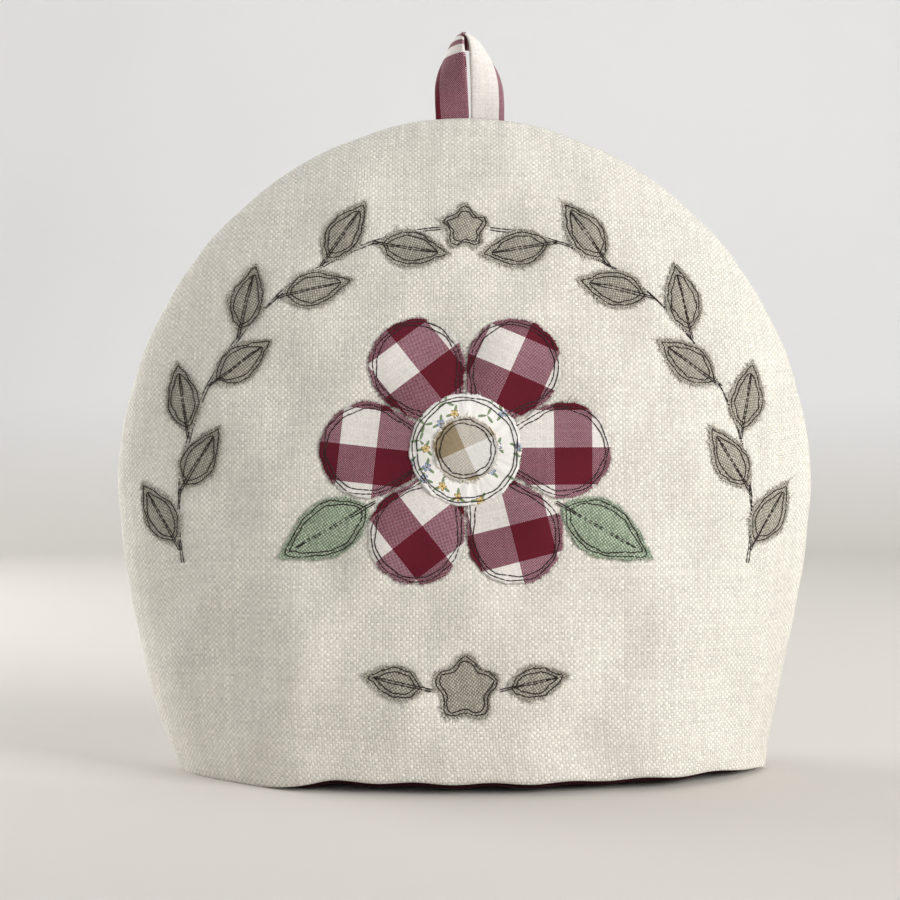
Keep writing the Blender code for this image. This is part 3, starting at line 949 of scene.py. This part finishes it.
def stem_row(side, beside, random):
    """One row of stitches along the garland's arc, from its foot to the top flower."""
    foot = GARLAND_END_ANGLE + STEM_FOOT_ANGLE
    top = math.degrees(GARLAND_FLOWER_RADIUS / GARLAND_RADIUS)
    count = int(math.radians(foot - top) * GARLAND_RADIUS / STITCH_LENGTH) + 1
    swing = np.radians(np.linspace(foot, top, count))
    radius = GARLAND_RADIUS + beside + open_waver(count, random)
    return join(side * radius * np.sin(swing), GARLAND_Z + radius * np.cos(swing))


STITCH_SHARES = np.array((-0.03, 0.12, 0.5, 0.88, 1.03))
STITCH_HEIGHTS = np.array((0.02, 0.14, 0.2, 0.14, 0.02)) * MM
STITCH_RADII = np.array((0.75, 0.95, 1.0, 0.95, 0.75)) * THREAD_RADIUS
STITCH_THICKNESS = (0.88, 1.12)
STITCH_STRAY = 0.06 * MM
STITCH_SIDES = 4


def stitches(row):
    """Start and end of each stitch that shows in a row, and the height it lies at."""
    patch = row["patch"]
    starts, ends = row["points"][:-1], row["points"][1:]
    if patch and patch.node.startswith("petal"):
        middle = (starts + ends) / 2 - (0.0, FLOWER_Z)
        shown = np.hypot(*middle.T) > FLOWER_DISC_RADIUS
        starts, ends = starts[shown], ends[shown]
    return starts, ends, np.full(len(starts), patch.height() if patch else 0.0)


def make_sewing(rows, dips, material):
    """Each group's stitches as one mesh of short threads that dive into the cloth."""
    pieces = []
    for group in ("flower", "garland", "sprig"):
        parts = [stitches(row) for row in rows if row["group"] == group]
        starts, ends, heights = (np.concatenate(part) for part in zip(*parts))
        random = dice(f"{group} stitches")
        starts = starts + random.normal(0.0, STITCH_STRAY, starts.shape)
        places = starts[:, None] + (ends - starts)[:, None] * STITCH_SHARES[:, None]
        on_face, outward = on_front(places, dips)
        paths = on_face + outward * (heights[:, None] + STITCH_HEIGHTS)[..., None]
        radii = STITCH_RADII * random.uniform(*STITCH_THICKNESS, (len(paths), 1))
        pieces.append(tubes(
            f"{group}_sewing", paths, radii, outward[:, 2], STITCH_SIDES, material, None))
    return pieces


FRAY_STEPS = np.array((0.0, 0.35, 0.7, 1.0))
FRAY_TAPER = np.array((1.0, 1.0, 0.85, 0.45))
FRAY_THICKNESS = (0.7, 1.3)
FRAY_LONG_SHARE = 0.02
FRAY_LONG_LENGTHS = (2.0, 4.0)
FRAY_BEND = 0.35
FRAY_ROOT = 0.5 * MM
FRAY_BASE = 0.2 * MM
FRAY_RISE = (-0.1 * MM, 0.45 * MM)
FRAY_SAG = (0.2, 0.9)
FRAY_SAG_GAP = 0.1 * MM
FRAY_LOWEST = 0.08 * MM
FRAY_CLOTH_INSET = 0.3 * MM
FRAY_SIDES = 3


def fray_threads(patch, dips):
    """Loose thread ends along one patch's raw edge, with their places on its cloth."""
    facts = CLOTHS[patch.cloth]
    random = dice(f"{patch.node} fray")
    edge = resample(patch.cut_edge(), facts["spacing"] * MM)
    out = outward_of(edge)
    side = join(-out[:, 1], out[:, 0])
    count = len(edge)
    aim = out + side * random.normal(0.0, facts["slant"], (count, 1))
    length = facts["length"] * MM * np.exp(random.normal(0.0, facts["spread"], count))
    long_ones = random.random(count) < FRAY_LONG_SHARE
    length[long_ones] *= random.uniform(*FRAY_LONG_LENGTHS, long_ones.sum())
    bend = side * random.normal(0.0, FRAY_BEND, (count, 1)) * length[:, None]
    share = FRAY_STEPS[:, None]
    root = edge - out * FRAY_ROOT
    places = root[:, None] + aim[:, None] * (length[:, None, None] + FRAY_ROOT) * share
    places = places + bend[:, None] * share ** 2
    on_face, outward = on_front(places, dips)
    rise = random.uniform(*FRAY_RISE, (count, 1)) * np.sin(math.pi * FRAY_STEPS)
    sag = random.uniform(*FRAY_SAG, (count, 1)) * (patch.height() - FRAY_SAG_GAP) * FRAY_STEPS ** 2
    base = patch.height() - PATCH_CLOTH / 2 + FRAY_BASE
    paths = on_face + outward * np.maximum(base + rise - sag, FRAY_LOWEST)[..., None]
    radii = facts["thickness"] * MM * random.uniform(*FRAY_THICKNESS, (count, 1)) * FRAY_TAPER
    cloth = cut_place(edge - out * FRAY_CLOTH_INSET, edge.mean(axis=0), patch)
    return paths, radii, outward[:, 1], cloth


def make_frays(patches, dips, materials):
    """The frayed edges of all the patches of each cloth, as one mesh."""
    pieces = []
    for cloth, facts in CLOTHS.items():
        threads = [fray_threads(patch, dips) for patch in patches if patch.cloth == cloth]
        paths, radii, ups, places = (np.concatenate(part) for part in zip(*threads))
        name = f"{cloth}_fray"
        pieces.append(tubes(
            name, paths, radii, ups, FRAY_SIDES, materials[name], facts["slot"], places))
    return pieces


# ---- cloth materials

def linear(red, green, blue):
    """A colour from its everyday values of 0 to 255."""
    values = [value / 255 for value in (red, green, blue)]
    return (*(v / 12.92 if v <= 0.04045 else ((v + 0.055) / 1.055) ** 2.4 for v in values), 1.0)


class Shader:
    """Adds nodes to one material by short calls; a value is a number, a colour or a socket."""

    def __init__(self, name, roughness=0.85, sheen=0.2):
        self.material = bpy.data.materials.new(name)
        self.material.use_nodes = True
        self.nodes = self.material.node_tree.nodes
        self.links = self.material.node_tree.links
        self.surface = self.nodes["Principled BSDF"]
        values = {
            "Roughness": roughness, "Specular IOR Level": 0.2,
            "Sheen Weight": sheen, "Sheen Roughness": 0.45,
        }
        for key, value in values.items():
            self.surface.inputs[key].default_value = value

    def feed(self, socket, value):
        if isinstance(value, bpy.types.NodeSocket):
            self.links.new(value, socket)
        else:
            socket.default_value = value

    def node(self, kind, values, **settings):
        node = self.nodes.new(kind)
        for key, value in settings.items():
            setattr(node, key, value)
        for key, value in values.items():
            self.feed(node.inputs[key], value)
        return node

    def math(self, operation, *values):
        return self.node("ShaderNodeMath", dict(enumerate(values)), operation=operation).outputs[0]

    def mix(self, share, first, second):
        values = {0: share, 6: first, 7: second}
        return self.node("ShaderNodeMix", values, data_type="RGBA").outputs[2]

    def scaled(self, colour, factor):
        values = {0: colour, 3: factor}
        return self.node("ShaderNodeVectorMath", values, operation="SCALE").outputs[0]

    def noise(self, place, scale, detail=2.0):
        values = {"Vector": place, "Scale": scale, "Detail": detail}
        return self.node("ShaderNodeTexNoise", values).outputs["Fac"]

    def pair(self, first, second):
        return self.node("ShaderNodeCombineXYZ", {0: first, 1: second}).outputs[0]

    def random(self, number, seed):
        values = {"Vector": self.pair(number, seed)}
        return self.node("ShaderNodeTexWhiteNoise", values, noise_dimensions="2D").outputs["Value"]

    def around(self, value, spread):
        """Turn 0 to 1 into a factor about 1."""
        return self.math("MULTIPLY_ADD", value, 2 * spread, 1 - spread)

    def finish(self, colour, height, depth):
        self.feed(self.surface.inputs["Base Color"], colour)
        bump = self.node("ShaderNodeBump", {"Height": height, "Distance": depth, "Strength": 1.0})
        self.feed(self.surface.inputs["Normal"], bump.outputs[0])
        return self.material


# Plain weaves: pitch, wander, jitter and relief in millimetres, the rest as shares; the hollow
# column is how far painted shade darkens the hollows between threads
WEAVES = keyed(
    "name across up wander jitter uneven scatter thread spot mottle hollow relief",
    ("linen_weave", 1.32, 1.24, 1.4, 1.25, 0.45, 0.45, 0.06, 0.06, 0.06, 0.22, 0.3),
    ("gingham_weave", 0.43, 0.43, 0.25, 0.0, 0.2, 0.0, 0.08, 0.10, 0.05, 0.3, 0.11),
    ("gingham_fray", 0.43, 0.43, 0.25, 0.0, 0.2, 0.0, 0.08, 0.10, 0.05, 0.0, 0.01),
    ("loop_gingham_weave", 0.43, 0.43, 0.2, 0.0, 0.2, 0.0, 0.08, 0.10, 0.05, 0.3, 0.11),
    ("lining_weave", 0.43, 0.43, 0.2, 0.0, 0.2, 0.0, 0.07, 0.05, 0.08, 0.3, 0.1),
    ("hopsack_weave", 0.8, 0.8, 0.5, 0.5, 0.4, 0.5, 0.09, 0.12, 0.06, 0.42, 0.24),
    ("sage_weave", 0.82, 0.82, 0.5, 0.5, 0.4, 0.5, 0.09, 0.12, 0.05, 0.45, 0.24),
    ("taupe_check_weave", 0.43, 0.43, 0.2, 0.0, 0.2, 0.0, 0.07, 0.06, 0.05, 0.3, 0.11),
    ("floral_print", 0.3, 0.3, 0.15, 0.0, 0.2, 0.0, 0.03, 0.03, 0.04, 0.15, 0.07),
)
WEAVE_RISE = 0.55
WANDER_SCALE = 60.0
JITTER_SCALE = 420.0
SLUB_SCALE = 90.0
WARP_SPREAD, WEFT_SPREAD = 0.37, 0.41
WARP_SEED, WEFT_SEED = 3.0, 8.0
MOTTLE_SCALE = 28.0
FINE_DETAIL = 3.0
HOLLOW_SHADE_POWER = 1.4


class Weave(Shader):
    """A plain weave in cloth metres: what lies on top, its height and each thread's number."""

    def __init__(self, name, **surface):
        super().__init__(name, **surface)
        self.facts = WEAVES[name]
        self.place = self.node("ShaderNodeUVMap", {}, uv_map="cloth").outputs["UV"]
        moved = self.strayed(self.place, WANDER_SCALE, self.facts["wander"] * MM)
        if self.facts["jitter"]:
            moved = self.strayed(moved, JITTER_SCALE, self.facts["jitter"] * MM)
        parts = self.node("ShaderNodeSeparateXYZ", {0: moved})
        self.across, self.up = parts.outputs[0], parts.outputs[1]
        a = self.math("DIVIDE", self.across, self.facts["across"] * MM)
        b = self.math("DIVIDE", self.up, self.facts["up"] * MM)
        self.warp, self.weft = self.math("FLOOR", a), self.math("FLOOR", b)
        warp_line = self.pair(self.math("MULTIPLY", self.warp, WARP_SPREAD), self.up)
        weft_line = self.pair(self.across, self.math("MULTIPLY", self.weft, WEFT_SPREAD))
        self.warp_slub = self.noise(warp_line, SLUB_SCALE)
        self.weft_slub = self.noise(weft_line, SLUB_SCALE)
        self.crossing = self.random(self.warp, self.weft)
        scatter = self.facts["scatter"]
        stray = self.math("MULTIPLY_ADD", self.crossing, scatter, -scatter / 2)
        warp_wave = self.math("ADD", self.wave(b, self.warp, WEAVE_RISE), stray)
        weft_wave = self.wave(a, self.weft, -WEAVE_RISE)
        self.warp_top = self.math("ADD", warp_wave, self.round(a, self.warp_slub))
        self.weft_top = self.math("ADD", weft_wave, self.round(b, self.weft_slub))
        top = self.math("MAXIMUM", self.warp_top, self.weft_top)
        self.height = self.math("DIVIDE", top, 1 + WEAVE_RISE)
        self.warp_on_top = self.math("GREATER_THAN", self.warp_top, self.weft_top)

    def strayed(self, place, scale, reach):
        """Move each place a little, so that no thread runs straight."""
        noise = {"Vector": place, "Scale": scale, "Detail": FINE_DETAIL}
        stray = self.node("ShaderNodeTexNoise", noise).outputs["Color"]
        values = {0: stray, 1: (reach, reach, 0.0), 2: place}
        return self.node("ShaderNodeVectorMath", values, operation="MULTIPLY_ADD").outputs[0]

    def wave(self, along, number, rise):
        """Over and under along a thread: highest in the middle of a cell where it lies on top."""
        turn = self.math("MULTIPLY", self.math("ADD", along, number), math.pi)
        return self.math("MULTIPLY", self.math("SINE", turn), rise)

    def round(self, across, slub):
        """A thread's round back, from its edge to its middle, thinner where its slub is low."""
        uneven = self.facts["uneven"]
        off = self.math("MULTIPLY_ADD", self.math("FRACT", across), 2.0, -1.0)
        off = self.math("MULTIPLY", off, self.math("MULTIPLY_ADD", slub, -2 * uneven, 1 + uneven))
        square = self.math("MULTIPLY_ADD", off, self.math("MULTIPLY", off, -1.0), 1.0)
        return self.math("SQRT", self.math("MAXIMUM", square, 0.0))

    def lead(self, warp_lead, weft_lead):
        """Let some threads show more than those that they cross."""
        warp_top = self.math("ADD", self.warp_top, warp_lead)
        weft_top = self.math("ADD", self.weft_top, weft_lead)
        self.warp_on_top = self.math("GREATER_THAN", warp_top, weft_top)

    def striped(self, number, period, start=0.0):
        """1 for a thread in the dark half of an even stripe, worked out from its number."""
        place = self.math("MULTIPLY_ADD", number, self.facts["across"] * MM / period, start)
        return self.math("LESS_THAN", self.math("FRACT", place), 0.5)

    def tone(self, number, seed, slub):
        """How light one thread is, on the whole and along its length."""
        return self.math("ADD", self.random(number, seed), self.math("SUBTRACT", slub, 0.5))

    def coloured(self, warp_colour, weft_colour):
        """The threads' colour, each and each crossing a little different, with painted shade in the
        hollows.
        """
        colour = self.mix(self.warp_on_top, weft_colour, warp_colour)
        warp_tone = self.tone(self.warp, WARP_SEED, self.warp_slub)
        weft_tone = self.tone(self.weft, WEFT_SEED, self.weft_slub)
        values = {0: self.warp_on_top, 2: weft_tone, 3: warp_tone}
        tone = self.node("ShaderNodeMix", values).outputs[0]
        mottle = self.noise(self.place, MOTTLE_SCALE, FINE_DETAIL)
        # painted shade: the colour darkens where the weave lies low
        deep = self.math("POWER", self.math("SUBTRACT", 1.0, self.height), HOLLOW_SHADE_POWER)
        factor = self.math("MULTIPLY_ADD", deep, -self.facts["hollow"], 1.0)
        for value, spread in ((tone, "thread"), (self.crossing, "spot"), (mottle, "mottle")):
            factor = self.math("MULTIPLY", factor, self.around(value, self.facts[spread]))
        return self.scaled(colour, factor)

    def woven(self, colour, height=None):
        """The finished cloth, with the weave's own height unless another is given."""
        height = self.height if height is None else height
        return self.finish(colour, height, self.facts["relief"] * MM)


LINEN_WARP_LEAD = 0.1
FLUFF_SCALE = 1500.0
FLUFF_COLOUR = 0.08
FLUFF_HEIGHT = 0.5
CROSSING_HEIGHT = 0.25
WARP_HEIGHT = 0.3


def linen():
    """Coarse linen whose warp stands up at its crossings, painted lighter than the weft for the
    light that catches it.
    """
    weave = Weave("linen_weave")
    weave.lead(LINEN_WARP_LEAD, 0.0)
    # painted light: the warp's colour is lighter than the weft's, as if lit from the side
    colour = weave.coloured(linear(231, 228, 219), linear(212, 208, 198))
    fluff = weave.noise(weave.place, FLUFF_SCALE)
    height = weave.math("MULTIPLY_ADD", fluff, FLUFF_HEIGHT, weave.height)
    height = weave.math("MULTIPLY_ADD", weave.crossing, CROSSING_HEIGHT, height)
    height = weave.math("MULTIPLY_ADD", weave.warp_on_top, WARP_HEIGHT, height)
    return weave.woven(weave.scaled(colour, weave.around(fluff, FLUFF_COLOUR)), height)


BURGUNDY = linear(94, 13, 32)
GINGHAM_WHITE = linear(224, 220, 215)
# A light thread where it crosses dark ones: painted shade, tinted by the burgundy around it
SHADED_WHITE = linear(206, 172, 186)
GINGHAM_PERIOD = 34 * MM
WARP_LEAD, WEFT_LEAD = 0.66, 0.88


def checked(weave, warp, weft):
    """The gingham's colours for threads that are dark (1) or light (0).

    The dark threads hide most of the light ones that they cross; where a light thread crosses dark
    ones it takes a painted shade, tinted by the burgundy around it.
    """
    weave.lead(weave.math("MULTIPLY", warp, WARP_LEAD), weave.math("MULTIPLY", weft, WEFT_LEAD))
    colours = [
        weave.mix(own, weave.mix(crossed, GINGHAM_WHITE, SHADED_WHITE), BURGUNDY)
        for own, crossed in ((warp, weft), (weft, warp))
    ]
    return weave.woven(weave.coloured(*colours))


def gingham(name="gingham_weave", **surface):
    """An even check, for the patches and the loose threads that come from them."""
    weave = Weave(name, **surface)
    stripes = [weave.striped(number, GINGHAM_PERIOD) for number in (weave.warp, weave.weft)]
    return checked(weave, *stripes)


LOOP_STRIPE = 2.7 * MM
LOOP_BANDS = table("start end", (0, 35.6), (39.0, 40.9), (42.4, 46.5))


def loop_gingham():
    """The loop's own cut of the check: dark bands across it and a dark edge."""
    weave = Weave("loop_gingham_weave")
    edge = weave.math("LESS_THAN", weave.across, LOOP_STRIPE)
    banded = 0.0
    for band in LOOP_BANDS:
        above = weave.math("GREATER_THAN", weave.up, band["start"] * MM)
        below = weave.math("LESS_THAN", weave.up, band["end"] * MM)
        banded = weave.math("MULTIPLY_ADD", above, below, banded)
    return checked(weave, edge, banded)


def plain_cloth(name, warp, weft, **surface):
    """Cloth with threads of one colour each way."""
    weave = Weave(name, **surface)
    return weave.woven(weave.coloured(linear(*warp), linear(*weft)))


# Painted shade: the burgundy lining is coloured near black, as it looks in the shade under the hem.
def shaded_lining_cotton():
    return plain_cloth("lining_weave", (48, 7, 15), (40, 5, 12), sheen=0.0)


def hopsack():
    return plain_cloth("hopsack_weave", (180, 176, 163), (128, 124, 113))


def sage():
    return plain_cloth("sage_weave", (180, 190, 168), (112, 132, 110))


TAUPE_PERIOD = 27 * MM


def taupe_check():
    weave = Weave("taupe_check_weave")
    dark, light = linear(148, 133, 106), linear(220, 218, 215)
    colours = [
        weave.mix(weave.striped(number, TAUPE_PERIOD, start), light, dark)
        for number, start in ((weave.warp, 0.5), (weave.weft, 0.35))
    ]
    return weave.woven(weave.coloured(*colours))


PRINT_CELL = 9.2 * MM
PRINT_SCATTER = 0.8
PRINT_TURN = 6.0
PRINT_LOBES = keyed(
    "part count roundness reach",
    ("leaf", 3, 7.0, 0.46), ("outline", 5, 0.5, 0.23), ("petal", 5, 0.7, 0.184))
PRINT_HEART = 0.046
YELLOW_SHARE = 0.36
BLUE_SHARE = 0.7


def floral():
    """White cotton with small scattered five-petalled flowers and green sprigs."""
    s = Weave("floral_print")
    ground = s.coloured(linear(240, 238, 234), linear(236, 234, 231))
    cells = s.node("ShaderNodeTexVoronoi", {
        "Vector": s.place, "Scale": 1 / PRINT_CELL, "Randomness": PRINT_SCATTER,
    }, voronoi_dimensions="2D")
    away = s.node("ShaderNodeVectorMath", {
        0: s.place, 1: cells.outputs["Position"],
    }, operation="SUBTRACT").outputs[0]
    parts = s.node("ShaderNodeSeparateXYZ", {0: away})
    distance = cells.outputs["Distance"]
    tint = s.node("ShaderNodeSeparateColor", {0: cells.outputs["Color"]})
    angle = s.math("ARCTAN2", parts.outputs[1], parts.outputs[0])
    angle = s.math("MULTIPLY_ADD", tint.outputs[2], PRINT_TURN, angle)

    def lobes(part):
        """1 inside a ring of lobes round the cell's point."""
        facts = PRINT_LOBES[part]
        wave = s.math("ABSOLUTE", s.math("COSINE", s.math("MULTIPLY", angle, facts["count"] / 2)))
        edge = s.math("MULTIPLY", s.math("POWER", wave, facts["roundness"]), facts["reach"])
        return s.math("LESS_THAN", distance, edge)

    flower = s.math("LESS_THAN", tint.outputs[0], BLUE_SHARE)
    yellow = s.math("LESS_THAN", tint.outputs[0], YELLOW_SHARE)
    petal = s.mix(yellow, linear(164, 176, 200), linear(222, 194, 122))
    outline = s.mix(yellow, linear(92, 106, 140), linear(140, 104, 56))
    heart = s.math("LESS_THAN", distance, PRINT_HEART)
    colour = s.mix(lobes("leaf"), ground, linear(122, 142, 108))
    for inside, paint in (
            (lobes("outline"), outline), (lobes("petal"), petal), (heart, linear(124, 88, 48))):
        colour = s.mix(s.math("MULTIPLY", flower, inside), colour, paint)
    return s.woven(colour)


THREADS = table(
    "name light dark grain",
    ("hopsack_fray", (246, 243, 235), (172, 165, 153), 1400.0),
    ("sage_fray", (214, 220, 204), (146, 164, 142), 1400.0),
    ("check_fray", (248, 244, 236), (228, 219, 203), 500.0),
    ("floral_fray", (240, 238, 234), (216, 212, 206), 1400.0),
    ("sewing_thread", (54, 44, 39), (26, 20, 18), 1400.0),
)
THREAD_RELIEF = 0.05 * MM


def thread(name, light, dark, grain):
    """Twisted thread, lighter and darker along its length."""
    shader = Shader(name, roughness=0.75, sheen=0.1)
    place = shader.node("ShaderNodeTexCoord", {}).outputs["Object"]
    speckle = shader.noise(place, grain)
    colour = shader.mix(speckle, linear(*dark), linear(*light))
    return shader.finish(colour, speckle, THREAD_RELIEF)


def make_materials():
    materials = {
        "linen": linen(),
        "lining": shaded_lining_cotton(),
        "loop": loop_gingham(),
        "gingham": gingham(),
        "gingham_fray": gingham("gingham_fray", roughness=0.8),
        "hopsack": hopsack(),
        "sage": sage(),
        "check": taupe_check(),
        "floral": floral(),
    }
    materials.update({row["name"]: thread(**row) for row in THREADS})
    return materials


# ---- the studio

FLOOR_MIDDLE_RADIUS = 0.4
FLOOR_RADIUS = 1.7
SWEEP_RADIUS = 0.8
WALL_HEIGHT = 2.6
COSY_MIDDLE = (0.0, 0.0, 0.16)
LIGHTS = table(
    "name place target size power colour",
    ("key", (1.55, -1.0, 0.75), COSY_MIDDLE, 0.8, 32.0, (1.0, 0.985, 0.965)),
    ("fill", (-0.7, -1.7, 0.5), COSY_MIDDLE, 1.3, 2.2, (0.97, 0.98, 1.0)),
    ("edge", (-1.55, 0.7, 0.5), COSY_MIDDLE, 0.9, 23.0, (1.0, 0.99, 0.98)),
    ("wall", (0.0, 0.6, 1.8), (0.0, 2.5, 0.4), 2.2, 14.0, (0.98, 0.99, 1.0)),
)
SKY_COLOUR = (0.97, 0.98, 1.0, 1.0)
SKY_STRENGTH = 0.32
STUDIO_TURNS = 96
SWEEP_STEPS = 17
FLOOR_TINT_HEIGHT = 250 * MM
PAINT_SCALE = 3.0


def studio_material():
    shader = Shader("studio_paint", roughness=0.9, sheen=0.0)
    place = shader.node("ShaderNodeTexCoord", {}).outputs["Object"]
    height = shader.node("ShaderNodeSeparateXYZ", {0: place}).outputs[2]
    rise = shader.math("MINIMUM", shader.math("DIVIDE", height, FLOOR_TINT_HEIGHT), 1.0)
    mottle = shader.noise(place, PAINT_SCALE)
    wall = shader.mix(mottle, linear(226, 226, 226), linear(230, 230, 230))
    colour = shader.mix(rise, linear(213, 209, 203), wall)
    shader.feed(shader.surface.inputs["Base Color"], colour)
    return shader.material


def make_studio():
    """A round pale floor that sweeps up into a wall on every side."""
    bend = np.linspace(0.0, math.pi / 2, SWEEP_STEPS)
    last = FLOOR_RADIUS + SWEEP_RADIUS
    radii = [FLOOR_MIDDLE_RADIUS, *(FLOOR_RADIUS + SWEEP_RADIUS * np.sin(bend)), last]
    heights = [0.0, *(SWEEP_RADIUS * (1 - np.cos(bend))), WALL_HEIGHT]
    points = [(0.0, 0.0, 0.0)] + [
        (radius * math.cos(turn), radius * math.sin(turn), height)
        for radius, height in zip(radii, heights) for turn in turns(STUDIO_TURNS)
    ]
    ring = 1 + np.arange(len(radii) * STUDIO_TURNS).reshape(-1, STUDIO_TURNS)
    middle = [(0, a, b) for a, b in zip(ring[0].tolist(), np.roll(ring[0], -1).tolist())]
    mesh = bpy.data.meshes.new("studio_sweep")
    mesh.from_pydata(points, [], middle + ring_quads(ring).tolist())
    mesh.materials.append(studio_material())
    mesh.shade_smooth()
    add_to_scene("studio_sweep", mesh)


def make_lights():
    for facts in LIGHTS:
        data = bpy.data.lights.new(facts["name"], "AREA")
        data.size = facts["size"]
        data.energy = facts["power"]
        data.color = facts["colour"]
        light = add_to_scene(f"{facts['name']}_light", data, facts["place"])
        away = light.location - Vector(facts["target"])
        light.rotation_euler = away.to_track_quat("Z", "Y").to_euler()
    world = bpy.data.worlds.new("soft_sky")
    world.use_nodes = True
    sky = world.node_tree.nodes["Background"]
    sky.inputs["Color"].default_value = SKY_COLOUR
    sky.inputs["Strength"].default_value = SKY_STRENGTH
    bpy.context.scene.world = world


def make_camera():
    data = bpy.data.cameras.new("camera")
    data.lens = CAMERA_LENS
    data.sensor_width = 36.0
    camera = add_to_scene("camera", data, CAMERA_PLACE)
    camera.rotation_euler = (math.pi / 2, 0.0, 0.0)
    bpy.context.scene.camera = camera
    bpy.context.scene.view_settings.view_transform = "Standard"


# ---- the whole cosy

def sheet_area(piece):
    """Area of one face of a thin closed sheet."""
    return sum(polygon.area for polygon in piece.data.polygons) / 2


def main():
    make_camera()
    materials = make_materials()
    flower, garland, sprig = flower_patches(), garland_patches(), sprig_patches()
    patches = flower + garland + sprig
    rows = sewing_rows(patches)
    dips = Dips([row["points"] for row in rows])
    panels = [
        make_layer("front_panel", "front", "panel", materials["linen"], dips),
        make_layer("back_panel", "back", "panel", materials["linen"]),
    ]
    linings = [
        make_layer(f"lining_{side}", side, "lining", materials["lining"])
        for side in ("front", "back")
    ]
    make_loop(materials["loop"])
    for patch in patches:
        make_patch(patch, dips, materials[patch.cloth])
    details = make_sewing(rows, dips, materials["sewing_thread"])
    details += make_frays(patches, dips, materials)
    for panel, extra in zip(panels, (details, [])):
        sheet_area(panel)
        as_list(extra)
    for lining, panel in zip(linings, panels):
        sheet_area(lining)
    make_studio()
    make_lights()


main()
